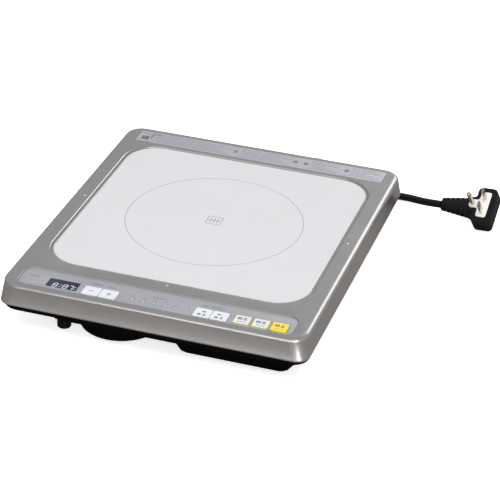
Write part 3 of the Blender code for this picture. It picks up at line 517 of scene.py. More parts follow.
class HobStage(bpy.types.Operator):
    """Floor, lights and camera"""

    bl_idname = "hob.stage"
    bl_label = "Stage"

    def execute(self, context):
        white = shader("stage_white", (0.93, 0.93, 0.93), 0.9, glow=0.75)
        grey = shader("stage_grey", (0.235, 0.222, 0.215), 0.9)
        for name, finish, z in (("floor", white, 0.0), ("floor_seen_in_steel", grey, -0.2 * MM)):
            half = 6.0
            mesh = bpy.data.meshes.new(name)
            mesh.from_pydata([(-half, -half, z), (half, -half, z), (half, half, z), (-half, half, z)], [],
                             [(0, 1, 2, 3)])
            mesh.materials.append(finish)
            floor = bpy.data.objects.new(name, mesh)
            context.scene.collection.objects.link(floor)
        shown = bpy.data.objects["floor"]
        shown.visible_glossy = shown.visible_diffuse = shown.visible_shadow = False
        bpy.data.objects["floor_seen_in_steel"].visible_camera = False
        self.lights(context)
        self.camera(context)
        return {"FINISHED"}

    def lights(self, context):
        """A soft overhead box, a wide low box in front, and one behind; an even grey all round."""
        world = bpy.data.worlds.new("studio")
        world.use_nodes = True
        world.node_tree.nodes["Background"].inputs["Color"].default_value = (0.92, 0.93, 0.95, 1)
        world.node_tree.nodes["Background"].inputs["Strength"].default_value = 0.50
        context.scene.world = world
        boxes = (
            ("overhead", (0.3, -0.4, 2.6), (2.6, 2.6), 68.0),
            ("front_low", (0.3, -3.2, 0.80), (3.4, 0.9), 21.0),
            ("back_right", (0.75, 2.9, 1.75), (1.7, 1.3), 13.0),
            ("corner_right", (1.6, -2.05, 0.45), (0.28, 1.2), 16.0),
        )
        for name, at, size, power in boxes:
            lamp = bpy.data.lights.new(name, "AREA")
            lamp.shape = "RECTANGLE"
            lamp.size, lamp.size_y = size
            lamp.energy = power
            holder = bpy.data.objects.new(name, lamp)
            holder.location = at
            holder.rotation_euler = (Vector((0, 0, 0.03)) - Vector(at)).to_track_quat("-Z", "Y").to_euler()
            holder.visible_glossy = name != "overhead"
            context.scene.collection.objects.link(holder)

    def camera(self, context):
        """A long lens from the front, a little to the right and 30 degrees above the table."""
        azimuth, elevation, roll = VIEW_AZIMUTH, VIEW_ELEVATION, VIEW_ROLL
        back = Vector((math.sin(azimuth) * math.cos(elevation), -math.cos(azimuth) * math.cos(elevation),
                       math.sin(elevation)))
        right = Vector((math.cos(azimuth), math.sin(azimuth), 0))
        up = back.cross(right)
        across = math.cos(roll) * right + math.sin(roll) * up
        above = math.cos(roll) * up - math.sin(roll) * right
        at = Vector(VIEW_AT) + back * VIEW_DISTANCE
        lens = bpy.data.cameras.new("camera")
        lens.sensor_width = 36
        lens.lens = VIEW_LENS
        lens.shift_y = VIEW_SHIFT
        holder = bpy.data.objects.new("camera", lens)
        turn = Matrix((across, above, back)).transposed().to_4x4()
        holder.matrix_world = Matrix.Translation(at) @ turn
        context.scene.collection.objects.link(holder)
        context.scene.camera = holder
        context.scene.view_settings.view_transform = "Standard"
        context.scene.view_settings.look = "None"


def smoothstep(t):
    t = np.clip(t, 0, 1)
    return t * t * (3 - 2 * t)


def straight_run(offsets, pinch, heights, rightward, steps=9):
    """A run of the hank: its distance from the middle line eases to the pinch at the tie."""
    s = np.linspace(-1, 1, steps + 2)[1:-1]
    s = s if rightward else -s
    x = HANK_HALF * s
    full = np.interp(s, (-1, 1), offsets)
    off = pinch + (full - pinch) * smoothstep((np.abs(x) - 15) / 65)
    z = np.interp(s, (-1, 1), heights)
    return np.column_stack([HANK_AT[0] + x, HANK_AT[1] + off, z])


def fold(sign, start, finish, heights, steps=8):
    """A half circle at an end of the hank, from one distance off the middle line to another."""
    middle, radius = (start + finish) / 2, (start - finish) / 2
    a = np.linspace(math.pi / 2, -math.pi / 2, steps + 1)
    z = np.interp(np.linspace(0, 1, steps + 1), np.linspace(0, 1, len(heights)), heights)
    x = HANK_AT[0] + sign * (HANK_HALF + abs(radius) * np.cos(a))
    return np.column_stack([x, HANK_AT[1] + middle + radius * np.sin(a), z])


def through(points, spacing):
    """Evenly spaced points on the Catmull-Rom curve through the given ones."""
    p = np.array(points, float)
    q = np.concatenate([[2 * p[0] - p[1]], p, [2 * p[-1] - p[-2]]])
    a, b, c, d = (q[k:len(q) - 3 + k, None] for k in range(4))
    t = np.linspace(0, 1, 24, endpoint=False)[None, :, None]
    curve = 0.5 * (2 * b + (c - a) * t + (2 * a - 5 * b + 4 * c - d) * t**2 + (3 * b - a - 3 * c + d) * t**3)
    fine = np.concatenate([curve.reshape(-1, 3), p[-1:]])
    run = np.concatenate([[0], np.cumsum(np.linalg.norm(np.diff(fine, axis=0), axis=1))])
    at = np.linspace(0, run[-1], int(round(run[-1] / spacing)) + 1)
    return np.column_stack([np.interp(at, run, fine[:, k]) for k in range(3)])


def cord_route():
    """The lead's middle line in millimetres, from the gland's tip, through the hank, to the plug's boot."""
    low, high = 4.0, 11.6
    start = [(60, 200.3, 20.5), (60, 205.5, 20.4), (58, 213.5, 19.7), (53.5, 220.5, 18.3), (47, 226, 16.4),
             (39, 229.6, 14.3), (30, 231.0, 12.6)]
    x = np.linspace(20, -70, 8)
    upper = smoothstep((np.abs(x) - 15) / 65)
    first = np.column_stack([HANK_AT[0] + x, HANK_AT[1] + 8.2 + (25 - 8.2) * upper, np.full(8, high)])
    first[0] = (16, HANK_AT[1] + 22.5, high + 0.2)
    return np.concatenate([
        start,
        first,
        fold(-1, 25, -23, (high, high)),
        straight_run((-23, -28), -8.2, (high, high), True),
        fold(1, -28, 24, (high, high, high, high, high - 0.6, 9.2, 6.6, 4.9, low)),
        straight_run((24, 24), 4.1, (low, low), False),
        fold(-1, 24, -24, (low, low)),
        straight_run((-24, -24), -4.1, (low, low), True),
        fold(1, -24, 32, (low, low)),
        straight_run((32, 32), 12.3, (low, low), False),
        fold(-1, 32, -32, (low, low)),
        straight_run((-32, -32), -12.3, (low, low), True),
        [(HANK_AT[0] + HANK_HALF, HANK_AT[1] - 32.2, low)],
        LEAD_OUT,
    ])


class HobLead(bpy.types.Operator):
    """Mains lead with its hank, narrowed where the tie holds it"""

    bl_idname = "hob.lead"
    bl_label = "Mains lead"

    def execute(self, context):
        finish = finishes()
        path = through(cord_route(), 3.0) * MM
        cord = piece("mains_cord", [(closed(tube(path, CORD_WIDTH / 2)), finish["cord_jacket"])],
                     stands_for=("power_cord", "cord_hank", "power_cord_end"), sharp=60)
        return {"FINISHED"}


class HobTie(bpy.types.Operator):
    """Strip that holds the hank"""

    bl_idname = "hob.tie"
    bl_label = "Cord tie"

    def execute(self, context):
        finish = finishes()
        x0, x1, y0, y1 = span("cord_tie")
        low, high = bottom("cord_tie"), top("cord_tie")
        around = round_corners([(y0, low), (y1, low), (y1, high - 4 * MM), (y1 - 8 * MM, high),
                                (y0 + 8 * MM, high), (y0, high - 4 * MM)], 2.5 * MM, 6)
        outward = around - around.mean(axis=0)
        inner = around - 0.8 * MM * outward / np.linalg.norm(outward, axis=1, keepdims=True)
        rings = []
        for out, along in ((1, x0 + 0.3 * MM), (1, x1 - 0.3 * MM), (0, x1), (0, x0)):
            line = around if out else inner
            rings.append(np.column_stack([np.full(len(line), along), line]))
        strip = [patch(np.stack(rings), along=True)]
        piece("hank_tie", [(strip, finish["tie_strip"])], stands_for=("cord_tie",))
        return {"FINISHED"}


class HobPlug(bpy.types.Operator):
    """Plug, its boot, face and pins, and the gland at the case"""

    bl_idname = "hob.plug"
    bl_label = "Plug and gland"

    def execute(self, context):
        finish = finishes()
        place = Matrix.Translation(PLUG_AT) @ Euler(PLUG_TURN).to_matrix().to_4x4()
        self.shell(place, finish)
        self.front(place, finish)
        self.pins(place, finish)
        self.boot(place, finish)
        self.gland(finish)
        return {"FINISHED"}

    def shell(self, place, finish):
        """Head: rounded rectangles stacked along the pins. Neck: rounded sections along the cord."""
        low, high = -PLUG_THICK / 2, PLUG_THICK / 2
        soft = 3.5 * MM
        profile = [(-soft - 0.5 * MM, low), *bend(soft, 180, 90, 6, (-soft, low + soft)),
                   *bend(2 * MM, 90, 0, 5, (-2 * MM, high - 2 * MM)), (-2.5 * MM, high)]
        head = closed(rim(centred((0, 0), PLUG_WIDE, PLUG_TALL), 4.6 * MM, profile, 8))
        along = np.array([-16.3, -15.9, -14, -12.2, -10.6, -9.6, 0]) * MM
        half_y = np.array([10.9, 11.3, 11.6, 12.3, 13.6, 15.4, 15.8]) * MM
        half_z = np.array([8.7, 9.1, 9.4, 9.6, 9.8, 9.9, 10.0]) * MM
        rings = np.stack([
            np.column_stack([np.full(44, x), rounded_rectangle((-hy, hy, -hz, hz), 0.75 * min(hy, hz))])
            for x, hy, hz in zip(along, half_y, half_z)])
        neck = closed(rings - np.array((0, 0.5 * MM, 0.3 * MM)))
        piece("plug_shell", [(moved(head + neck, place), finish["black_rubber"])],
              stands_for=("plug_body",))

    def front(self, place, finish):
        """The white face: a T outline raised a little above the head."""
        t = np.array([(-15.6, -4.6), (-5.4, -4.6), (-5.4, -14.5), (5.4, -14.5), (5.4, 14.5), (-5.4, 14.5),
                      (-5.4, 4.6), (-15.6, 4.6)]) * MM
        soft = np.array([3.2, 3.6, 2.4, 2.4, 2.4, 2.4, 3.6, 3.2])[:, None] * MM
        outline = round_corners(t, soft)
        middle = outline.mean(axis=0)
        low, high = PLUG_THICK / 2 - 1.5 * MM, PLUG_THICK / 2 + 0.6 * MM
        rings = np.stack([raised(outline, low), raised(outline, high - 0.3 * MM),
                          raised(middle + (outline - middle) * 0.975, high)])
        piece("plug_front", [(moved(closed(rings), place), finish["white_face"])],
              stands_for=("plug_face",))

    def pins(self, place, finish):
        """Two flat blades with softened ends and a round earth pin with a domed tip."""
        foot = PLUG_THICK / 2 + 0.9 * MM
        made = []
        for y0, y1 in ((4.8, 11.2), (-11.2, -4.8)):
            box = (-0.8 * MM, 0.8 * MM, y0 * MM, y1 * MM)
            profile = [(0, foot), (0, foot + 15.4 * MM), (-0.25 * MM, foot + 16.5 * MM),
                       (-0.5 * MM, foot + 17 * MM)]
            made += closed(rim(box, 0.3 * MM, profile, 3))
        dome = bend(2.4 * MM, 90, 10, 6, (0, foot + 17.6 * MM))
        made += turned([(2.4 * MM, foot), (2.4 * MM, foot + 17 * MM), *dome], 20, (-11.9 * MM, 0, 0))
        piece("plug_pins", [(moved(made, place), finish["pin_plate"])],
              stands_for=("blade_line", "blade_neutral", "earth_pin"))

    def boot(self, place, finish):
        """Flat ribbed boot that narrows from 11.3 to 7.2 mm half width, its grooves staggered."""
        s, a = np.linspace(0, 1, 110)[:, None], np.linspace(0, 2 * math.pi, 40, endpoint=False)[None, :]
        inside = (s > 0.08) * (s < 0.94) * smoothstep((np.abs(np.sin(a)) - 0.12) / 0.3)
        wave = np.cos(2 * math.pi * (6 * s + 0.5 * (np.sin(a) > 0)))
        groove = 1.5 * smoothstep((wave - 0.45) / 0.3) * inside
        radius = (11.3 - 4.1 * s - 0.6 * smoothstep((s - 0.97) / 0.03) - groove) * MM
        rings = np.stack([0.8 * radius * np.cos(a), radius * np.sin(a), -31.2 * MM * s + 0 * a], axis=-1)
        root = Matrix.Translation((-PLUG_WIDE / 2 - 6.3 * MM, -0.5 * MM, -0.5 * MM))
        lay = root @ Matrix.Rotation(math.pi / 2, 4, "Y")
        piece("plug_boot_ribbed", [(moved(closed(rings), place @ lay), finish["black_rubber"])],
              stands_for=("plug_boot",), sharp=60)

    def gland(self, finish):
        """Tapered strain relief with rings cut into it."""
        s = np.linspace(0, 1, 80)
        groove = 0.5 * smoothstep((np.cos(2 * math.pi * 6 * s) - 0.3) / 0.5) * (s > 0.1) * (s < 0.95)
        outer = np.column_stack([(5.4 - 0.9 * s - groove) * MM, (6 + 26 * s) * MM])
        root = [(7 * MM, -5.4 * MM), (7 * MM, -2.4 * MM), (5.4 * MM, -2.4 * MM)]
        start = Matrix.Translation((CORD_EXIT[0], 168 * MM, CORD_EXIT[2]))
        lay = start @ Matrix.Rotation(-math.pi / 2, 4, "X")
        piece("ribbed_gland", [(moved(turned([*root, *outer.tolist()], 28), lay), finish["black_rubber"])],
              stands_for=("cord_gland",), sharp=60)


class HobSteel(bpy.types.Operator):
    """Pressed steel top"""

    bl_idname = "hob.steel"
    bl_label = "Steel top"

    def execute(self, context):
        sizes, finish = context.scene.hob_sizes, finishes()
        high, low, r = STEEL_TOP, STEEL_LOW, sizes.steel_bend
        shoulder = grown(STEEL, -FLARE)
        edge = [(-r - 0.05 * MM, high), *bend(r, 0, 90, 12, (-r, high - r))]
        outside = rim(shoulder, STEEL_CORNER, edge, 16)
        hem = rim(STEEL, HEM_CORNER, [
            (-0.1 * MM, low + 2.2 * MM),
            (0.6 * sizes.hem, low + 1.7 * MM),
            (sizes.hem, low + 1.2 * MM),
            (sizes.hem, low + 0.6 * MM),
            (0, low + 0.1 * MM),
            (-0.5 * MM, low),
            (-SHEET, low + 0.4 * MM),
        ], 16)
        inside = rim(shoulder, STEEL_CORNER, [
            (-SHEET, high - 5 * MM),
            (-1.9 * MM, high - 1.7 * MM),
            (-3.4 * MM, high - SHEET),
        ], 16)
        outer = np.concatenate([outside, hem, inside])
        lip = sizes.lip_bend
        opening = rim(grown(GLASS, SEAL_WIDE), GLASS_CORNER + SEAL_WIDE, [
            (lip + 0.3 * MM, high),
            *[(-out, z) for out, z in bend(lip, 0, 90, 8, (-lip, high - lip))],
            (0, LEDGE_TOP),
            (-8.3 * MM, LEDGE_TOP),
            (-8.3 * MM, LEDGE_TOP - SHEET),
            (SHEET, LEDGE_TOP - SHEET),
            (SHEET, high - SHEET),
        ], 20)
        strip = grown(OVERLAY, GAP)
        recess = rim(strip, PANEL_CORNER, [
            (0.6 * MM, high), (0.35 * MM, high - 0.08 * MM), (0.1 * MM, high - 0.28 * MM),
            (0, high - 0.6 * MM), (0, TRAY_FLOOR)], 10)
        under = rim(strip, PANEL_CORNER, [(SHEET, TRAY_FLOOR - SHEET), (SHEET, high - SHEET)], 10)
        holes = [rim(box, 0.5 * MM, [(0, TRAY_FLOOR), (0, TRAY_FLOOR - SHEET)], 2) for box in floor_windows()]
        surfaces = [patch(outer), patch(opening), patch(recess), patch(under), *[patch(h) for h in holes]]
        surfaces.append(plane(high, outer[0][:, :2], opening[0][:, :2], recess[0][:, :2]))
        surfaces.append(plane(high - SHEET, outer[-1][:, :2], opening[-1][:, :2], under[-1][:, :2]))
        surfaces.append(plane(TRAY_FLOOR, recess[-1][:, :2], *[h[0][:, :2] for h in holes]))
        surfaces.append(plane(TRAY_FLOOR - SHEET, under[0][:, :2], *[h[1][:, :2] for h in holes]))
        ticks = []
        for x, y, wide, tall in TICKS:
            ticks += bar(x - wide / 2, y, wide, tall, *ink(high))
        piece("steel_top", [(surfaces, finish["brushed_steel"]), (ticks, finish["pale_marks"])],
              stands_for=("top_frame",))
        return {"FINISHED"}


def key_groups():
    """Boxes that hold keys: the two pairs of touching keys share one."""
    boxes = {name: key_face(name) for name in KEYS}
    pairs = [("key_minus", "key_plus"), ("key_left", "key_right")]
    joined = [(boxes[a][0], boxes[b][1], *boxes[a][2:]) for a, b in pairs]
    return joined + [boxes[name] for name in ("key_mode_a", "key_mode_b", "key_power")]


def key_face(name):
    """A key's cap seen from above, without its flange."""
    x0, x1, y0, y1 = span(name)
    return (x0, x1, y0 + 1.2 * MM, y1 - 1.2 * MM)


def floor_windows():
    lamps = (LAMP_FIRST - 3 * MM, LAMP_FIRST + (LAMP_COUNT - 1) * LAMP_PITCH + 3 * MM, LAMP_Y - 3 * MM,
             LAMP_Y + 3 * MM)
    return [grown(box, 0.6 * MM) for box in key_groups()] + [grown(DISPLAY, 1.6 * MM), lamps]


class HobGlass(bpy.types.Operator):
    """White glass with its print, and the grey seal round it"""

    bl_idname = "hob.glass"
    bl_label = "Glass and seal"

    def execute(self, context):
        finish = finishes()
        low, high = bottom("glass_plate"), top("glass_plate")
        plate = rim(GLASS, GLASS_CORNER, [
            (-0.3 * MM, low), (0, low + 0.3 * MM), (0, high - 0.5 * MM), (-0.08 * MM, high - 0.2 * MM),
            (-0.28 * MM, high - 0.05 * MM), (-0.55 * MM, high), (-0.9 * MM, high)], 20)
        printed = [(closed(plate), finish["white_glass"]), (self.symbol(high), finish["glass_print"])]
        piece("printed_glass", printed, stands_for=("glass_plate",))
        seal = rim(GLASS, GLASS_CORNER, [
            (2 * MM, 43.3 * MM), (2 * MM, 48.3 * MM), (1.7 * MM, 48.6 * MM), (0.6 * MM, 48.6 * MM),
            (0.3 * MM, 48.3 * MM), (0.3 * MM, 44.5 * MM), (-4 * MM, 44.5 * MM), (-4 * MM, 43.3 * MM)], 20)
        piece("glass_edge_seal", [([patch(seal, along=True)], finish["seal_silicone"])],
              stands_for=("glass_seal",))
        return {"FINISHED"}

    def symbol(self, high):
        """A small generic coil sign at the middle: a thin square frame round three short upright waves."""
        x, y = RING_CENTRE
        low, top_of = ink(high)
        outer, inner = 7.6 * MM, 6.9 * MM
        square = [raised(rounded_rectangle(centred(RING_CENTRE, 2 * h, 2 * h), 1.2 * MM, 4), z)
                  for h, z in ((outer, low), (outer, top_of), (inner, top_of), (inner, low))]
        made = [patch(np.stack(square), along=True)]
        s = np.linspace(-1, 1, 25)
        for row in (-1, 0, 1):
            line = np.column_stack([x + (row * 3.6 + 0.5 * np.sin(math.pi * s)) * MM, y + 3.4 * MM * s])
            half = np.array((0.65 * MM, 0))
            outline = np.concatenate([line - half, (line + half)[::-1]])
            made += tile(outline, low, top_of)
        return made


class HobStrip(bpy.types.Operator):
    """Control strip with its marks, display and lamps"""

    bl_idname = "hob.strip"
    bl_label = "Control strip"

    def execute(self, context):
        finish = finishes()
        low, high = bottom("control_overlay"), OVERLAY_TOP
        lamps = [LAMP_FIRST + k * LAMP_PITCH for k in range(LAMP_COUNT)]
        holes = [(grown(box, 0.35 * MM), 1.0 * MM) for box in key_groups()]
        holes.append((grown(DISPLAY, GAP), 0.5 * MM))
        holes += [(centred((x, LAMP_Y), 2 * LENS_HOLE, 2 * LENS_HOLE), LENS_HOLE) for x in lamps]
        film = slab(OVERLAY, PANEL_CORNER - GAP, low, high, 0.15 * MM, holes, 8)
        piece("control_film", [(film, finish["strip_film"]), (self.marks(high, lamps), finish["grey_marks"]),
                               (self.power_sign(high), finish["strip_marks"])],
              stands_for=("control_overlay",))
        window = slab(DISPLAY, 0.4 * MM, bottom("display_window"), top("display_window"), 0.15 * MM)
        face = top("display_window")
        piece("display_glass", [(window, finish["display_glass"]),
                                (self.digits(face, ((-97.8, "abcdefg"), (-87.9, "abcdefg"), (-82.3, "abc"))) +
                                 self.dots(face), finish["lit_digits"]),
                                (self.digits(face, ((-103.4, "abcdefg"),)), finish["unlit_digits"])],
              stands_for=("display_window",))
        self.lenses(lamps, finish)
        return {"FINISHED"}

    def marks(self, high, lamps):
        """Short generic bars in rows, where a printed strip has its captions, and under each lamp a thin dark
        bar that is painted shade below its lens.
        """
        low, top_of = ink(high)
        made = []
        for x, y, count, wide in ((-127.2, -152.0, 4, 2.2), (-65.8, -146.6, 4, 1.9), (-50.0, -147.2, 3, 1.9),
                                  (41.2, -147.0, 3, 1.7), (51.0, -147.0, 5, 1.9), (-4.7, -150.0, 5, 2.0)):
            for k in range(count):
                made += glyph(x + k * (wide + 0.9), y, wide, 2.1, k + count, low, top_of)
        for x, y, count, wide, tall in ((-131, -159.0, 9, 1.7, 1.0), (-126, -165.0, 6, 1.2, 0.7),
                                        (-1.0, -167.3, 5, 1.6, 0.8), (27.5, -164.9, 3, 1.6, 0.8)):
            for k in range(count):
                long = wide * (0.8 + 0.2 * math.sin(2.3 * k + x))
                made += bar(x + k * (wide + 0.7), y, long, tall, low, top_of)
        for x in lamps:
            made += bar(x / MM - 1.3, -154.0, 2.4, 1.1, low, top_of)
            # painted shade: a thin dark bar just under each lamp, where its lens dome would shade the film
            made += bar(x / MM - 1.7, -161.3, 3.4, 0.6, low, top_of)
        return made

    def power_sign(self, high):
        """A ring and a stroke beside the power key."""
        low, top_of = ink(high)
        ring = rounded_rectangle((110.4 * MM, 112.4 * MM, -168.2 * MM, -166.2 * MM), 1.0 * MM, 4)
        return tile(ring, low, top_of) + bar(113.4, -167.3, 1.0, 2.0, low, top_of)

    def digits(self, high, shown):
        """Seven-segment figures, leaning a little: each has its middle and its segments."""
        low, top_of = ink(high)
        tall, wide, thick, middle = 6.6 * MM, 3.9 * MM, 0.85 * MM, DIGIT_Y
        made = []
        for at, segments in shown:
            x = at * MM
            bars = {
                "a": (x, middle + tall / 2, wide, thick), "d": (x, middle - tall / 2, wide, thick),
                "g": (x, middle, wide, thick),
                "f": (x - wide / 2, middle + tall / 4, thick, tall / 2),
                "b": (x + wide / 2, middle + tall / 4, thick, tall / 2),
                "e": (x - wide / 2, middle - tall / 4, thick, tall / 2),
                "c": (x + wide / 2, middle - tall / 4, thick, tall / 2),
            }
            for segment in segments:
                cx, cy, w, h = bars[segment]
                w, h = (w - 1.1 * thick, h) if w > h else (w, h - 0.5 * thick)
                made += leaning(cx, cy, w, h, middle, low, top_of)
        return made

    def dots(self, high):
        """Two pairs of dots between and after the figures."""
        low, top_of = ink(high)
        made = []
        for x in (-92.6, -78.2):
            for dy in (-1.8, 1.8):
                made += leaning(x * MM, DIGIT_Y + dy * MM, 1.0 * MM, 1.3 * MM, DIGIT_Y, low, top_of)
        return made

    def lenses(self, lamps, finish):
        """A domed lens over each lamp, on the guide's bar."""
        low, high = bottom("indicator_guide"), top("indicator_guide")
        made = slab(span("indicator_guide"), 0.4 * MM, low, 41 * MM)
        for x in lamps:
            dome = [(LENS_RADIUS * math.cos(a), high - 0.45 * MM + 0.45 * math.sin(a) * MM)
                    for a in np.linspace(0, 1.45, 6)]
            made += turned([(LENS_RADIUS, 40 * MM), *dome], 20, (x, LAMP_Y, 0))
        piece("lamp_lenses", [(made, finish["lamp_lens"])],
              stands_for=("indicator_guide",))


def bar(x, y, wide, tall, low, high):
    """A small flat bar, its left end and middle height given in millimetres."""
    box = (x * MM, (x + wide) * MM, (y - tall / 2) * MM, (y + tall / 2) * MM)
    return tile(rounded_rectangle(box, 0.2 * MM, 2), low, high)


def glyph(x, y, wide, tall, kind, low, high):
    """A plain mark made of strokes: two or three bars lying across one or two upright ones."""
    stroke = 0.24 * tall
    made = bar(x, y + 0.38 * tall, wide, stroke, low, high) + bar(x, y - 0.38 * tall, wide, stroke, low, high)
    if kind % 3:
        made += bar(x + 0.15 * wide, y, 0.7 * wide, stroke, low, high)
    if kind % 2:
        made += bar(x + 0.36 * wide, y, 0.28 * wide, tall, low, high)
    else:
        made += bar(x, y, 0.22 * wide, tall, low, high)
        made += bar(x + 0.78 * wide, y, 0.22 * wide, tall, low, high)
    return made


def leaning(x, y, wide, tall, middle, low, high):
    """A flat bar sheared to the right in step with its height above the middle."""
    outline = rounded_rectangle(centred((x, y), wide, tall), 0.3 * MM, 2)
    outline = outline + np.column_stack([(outline[:, 1] - middle) * 0.12, np.zeros(len(outline))])
    return tile(outline, low, high)


class HobKeys(bpy.types.Operator):
    """The keys with their signs"""

    bl_idname = "hob.keys"
    bl_label = "Keys"

    def execute(self, context):
        finish, dish = finishes(), context.scene.hob_sizes.key_dish
        for name, sign in KEYS.items():
            face = key_face(name)
            high = top(name)
            yellow = name == "key_power"
            base = finish["yellow_key" if yellow else "white_key"]
            edge = finish["key_border"] if name.startswith("key_mode") else base
            cx, cy = (face[0] + face[1]) / 2, (face[2] + face[3]) / 2
            stem = centred((cx, cy), 5 * MM, 5 * MM)
            low = bottom(name)
            lower = [raised(rounded_rectangle(stem, 2.5 * MM, 4), z) for z in (low, low + 2 * MM)]
            flange = (face[0], face[1], face[2] - 1.2 * MM, face[3] + 1.2 * MM)
            lower += [raised(rounded_rectangle(flange, 0.3 * MM, 4), z)
                      for z in (low + 2.1 * MM, low + 3.1 * MM)]
            sides = rim(face, 1.2 * MM, [(0, low + 3.2 * MM), (0, high - 0.45 * MM),
                                         (-0.12 * MM, high - 0.15 * MM), (-0.4 * MM, high),
                                         (-0.95 * MM, high - 0.2 * dish)], 4)
            crown = rim(face, 1.2 * MM, [(-0.95 * MM, high - 0.2 * dish), (-3 * MM, high - dish)], 4)
            shell = [patch(np.concatenate([np.stack(lower), sides])), lid(lower[0])]
            centre = [patch(crown), lid(crown[-1])]
            signs = self.sign(sign, cx, cy, high - dish)
            marks = finish["strip_marks" if sign in ("arrow_left", "arrow_right") else "grey_marks"]
            piece(f"{name}_cap", [(shell, edge), (centre, base), (signs, marks)], body=name,
                  stands_for=(name,))
        return {"FINISHED"}

    def sign(self, kind, x, y, z):
        """The sign on a key: a bar, a cross, an arrow head, or rows of short bars."""
        low, high = z - 0.2 * MM, z + 0.05 * MM
        cx, cy = x / MM, y / MM
        if kind == "minus":
            return bar(cx - 2.6, cy, 5.2, 0.8, low, high)
        if kind == "plus":
            arm, half = 2.6, 0.45
            cross = np.array([(-arm, -half), (-half, -half), (-half, -arm), (half, -arm), (half, -half),
                              (arm, -half), (arm, half), (half, half), (half, arm), (-half, arm),
                              (-half, half), (-arm, half)])
            return tile((cross + (cx, cy)) * MM, low, high)
        if kind in ("arrow_left", "arrow_right"):
            way = -1 if kind == "arrow_left" else 1
            head = np.array([(-2.4 * way, 0.8), (2.4 * way, 2.1), (-2.4 * way, 3.4)])
            made = tile((head[::way] + (cx, cy)) * MM, low, high)
            for k in range(2):
                made += glyph(cx - 3.9 + 5.0 * k, cy - 3.2, 3.0, 2.9, k + 2, low, high)
            return made
        made = []
        for k in range(2):
            made += glyph(cx - 4.9 + 5.1 * k, cy + 1.7, 4.2, 4.0, k + 2, low, high)
        for k in range(4):
            made += bar(cx - 3.9 + 2.1 * k, cy - 3.6, 1.4, 1.2, low, high)
        return made


class HobLabel(bpy.types.Operator):
    """Silver film along the rear, with rows of plain bars"""

    bl_idname = "hob.label"
    bl_label = "Rear label"

    def execute(self, context):
        finish = finishes()
        high = STEEL_TOP + 0.12 * MM
        film = slab(LABEL, 1.2 * MM, STEEL_TOP + 0.01 * MM, high, 0.03 * MM)
        low, top_of = high - 0.03 * MM, high + 0.02 * MM
        x0, y0 = LABEL[0] / MM, LABEL[2] / MM
        rows, signs = [], []
        for start, end in ((17, 101), (113, 166), (189, 219), (233, 263)):
            for row in range(5):
                x, k = x0 + start + 2.2 * (row % 2), 0
                while x < x0 + end - 7 * (row % 3):
                    wide = 1.9 + 0.7 * math.sin(1.7 * k + 2.1 * row + start)
                    rows += bar(x, y0 + 4 + row * 3.75, wide, 1.5 - 0.5 * (k % 2), low, top_of)
                    x, k = x + wide + 0.9, k + 1
        signs += glyph(x0 + 4.6, y0 + 8.4, 6.6, 7.4, 2, low, top_of)
        signs += bar(x0 + 14, y0 + 13.5, 1.1, 10, low, top_of)
        signs += bar(x0 + 15.1, y0 + 18.4, 7, 1.1, low, top_of)
        for x in (105.5, 170.5, 182, 226):
            signs += glyph(x0 + x, y0 + 12.4, 4.0, 4.6, int(x), low, top_of)
        gap = bar(x0 + 12.4, y0 + 11.7, 0.7, 23.2, low, top_of)
        piece("rear_film", [(film, finish["label_film"]), (rows, finish["grey_marks"]),
                            (signs, finish["strip_marks"]), (gap, finish["brushed_steel"])],
              stands_for=("rear_label",))
        return {"FINISHED"}


class HobFeet(bpy.types.Operator):
    """Rubber feet"""

    bl_idname = "hob.feet"
    bl_label = "Feet"

    def execute(self, context):
        finish = finishes()
        for name in ("foot_front_left", "foot_rear_left", "foot_rear_right", "foot_front_right"):
            x0, x1, y0, y1 = span(name)
            high, r = top(name), (x1 - x0) / 2
            profile = [(r, high), *bend(1.8 * MM, 90, 180, 6, (r - 1.8 * MM, 1.8 * MM)), (r - 3 * MM, 0),
                       (r - 3.4 * MM, 0.3 * MM)]
            foot = turned(profile, 32, ((x0 + x1) / 2, (y0 + y1) / 2, 0))
            piece(f"{name}_rubber", [(foot, finish["black_rubber"])], stands_for=(name,))
        return {"FINISHED"}


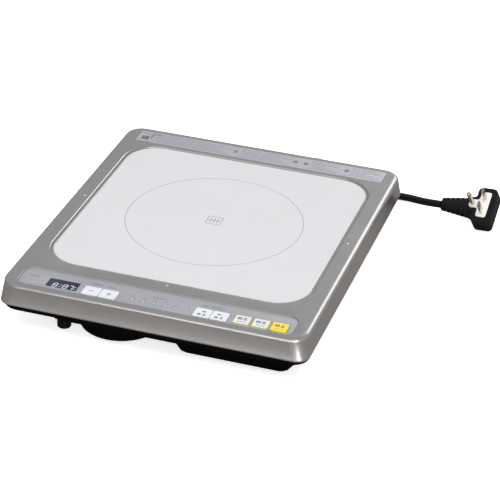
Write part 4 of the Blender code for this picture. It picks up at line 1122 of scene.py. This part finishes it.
class HobCase(bpy.types.Operator):
    """Lower case, smooth shaded, and the finishes of everything inside it"""

    bl_idname = "hob.case"
    bl_label = "Case and inner pieces"

    def execute(self, context):
        finish = finishes()
        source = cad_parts["bottom_case"]
        mesh = source.data.copy()
        bm = bmesh.new()
        bm.from_mesh(mesh)
        bmesh.ops.remove_doubles(bm, verts=bm.verts, dist=0.002 * MM)
        bmesh.ops.dissolve_limit(bm, angle_limit=math.radians(1), verts=bm.verts, edges=bm.edges)
        bm.to_mesh(mesh)
        bm.free()
        mesh.materials.clear()
        mesh.materials.append(finish["black_case"])
        mesh.shade_smooth()
        mesh.set_sharp_from_angle(angle=math.radians(30))
        case = bpy.data.objects.new("lower_case", mesh)
        context.scene.collection.objects.link(case)
        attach(case, HOUSING)
        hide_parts("bottom_case")
        inner = {
            "display_module": "dark_plastic", "keypad_mat": "grey_silicone", "control_board": "board_green",
            "mica_sheet": "mica_sheet", "temperature_sensor": "grey_silicone", "coil_former": "dark_plastic",
            "coil_winding": "wound_copper", "fan_frame": "dark_plastic", "fan_rotor": "black_case",
            "main_board": "board_green", "heat_sink": "aluminium", "power_transistor": "epoxy_black",
            "bridge_rectifier": "epoxy_black", "filter_choke": "wound_copper",
            "resonant_capacitor": "capacitor_case", "smoothing_capacitor": "capacitor_case",
            "cord_clamp": "dark_plastic",
        }
        inner.update({f"ferrite_bar_{k}": "ferrite" for k in range(1, 5)})
        inner.update({f"case_screw_{k}": "zinc_plate" for k in range(1, 5)})
        for name, kind in inner.items():
            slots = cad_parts[name].data.materials
            slots.clear()
            slots.append(finish[kind])
        return {"FINISHED"}


class HobPanel(bpy.types.Panel):
    """Lists the steps and the settings"""

    bl_idname = "VIEW3D_PT_hob"
    bl_label = "Induction Hob"
    bl_space_type = "VIEW_3D"
    bl_region_type = "UI"
    bl_category = "Hob"

    def draw(self, context):
        for step in STEPS:
            self.layout.operator(step.bl_idname)
        for group in (context.scene.hob_sizes, context.scene.hob_finish):
            for name in group.__annotations__:
                self.layout.prop(group, name)


STEPS = (HobStage, HobPlug, HobTie, HobLead, HobSteel, HobGlass, HobStrip, HobKeys, HobLabel, HobFeet,
         HobCase)
CLASSES = (HobSizes, HobFinish, *STEPS, HobPanel)


def register():
    for each in CLASSES:
        bpy.utils.register_class(each)
    bpy.types.Scene.hob_sizes = bpy.props.PointerProperty(type=HobSizes)
    bpy.types.Scene.hob_finish = bpy.props.PointerProperty(type=HobFinish)


def unregister():
    del bpy.types.Scene.hob_finish
    del bpy.types.Scene.hob_sizes
    for each in reversed(CLASSES):
        bpy.utils.unregister_class(each)


def main():
    register()
    for step in STEPS:
        section, name = step.bl_idname.split(".")
        getattr(getattr(bpy.ops, section), name)()
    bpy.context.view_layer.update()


if __name__ == "__main__":
    main()
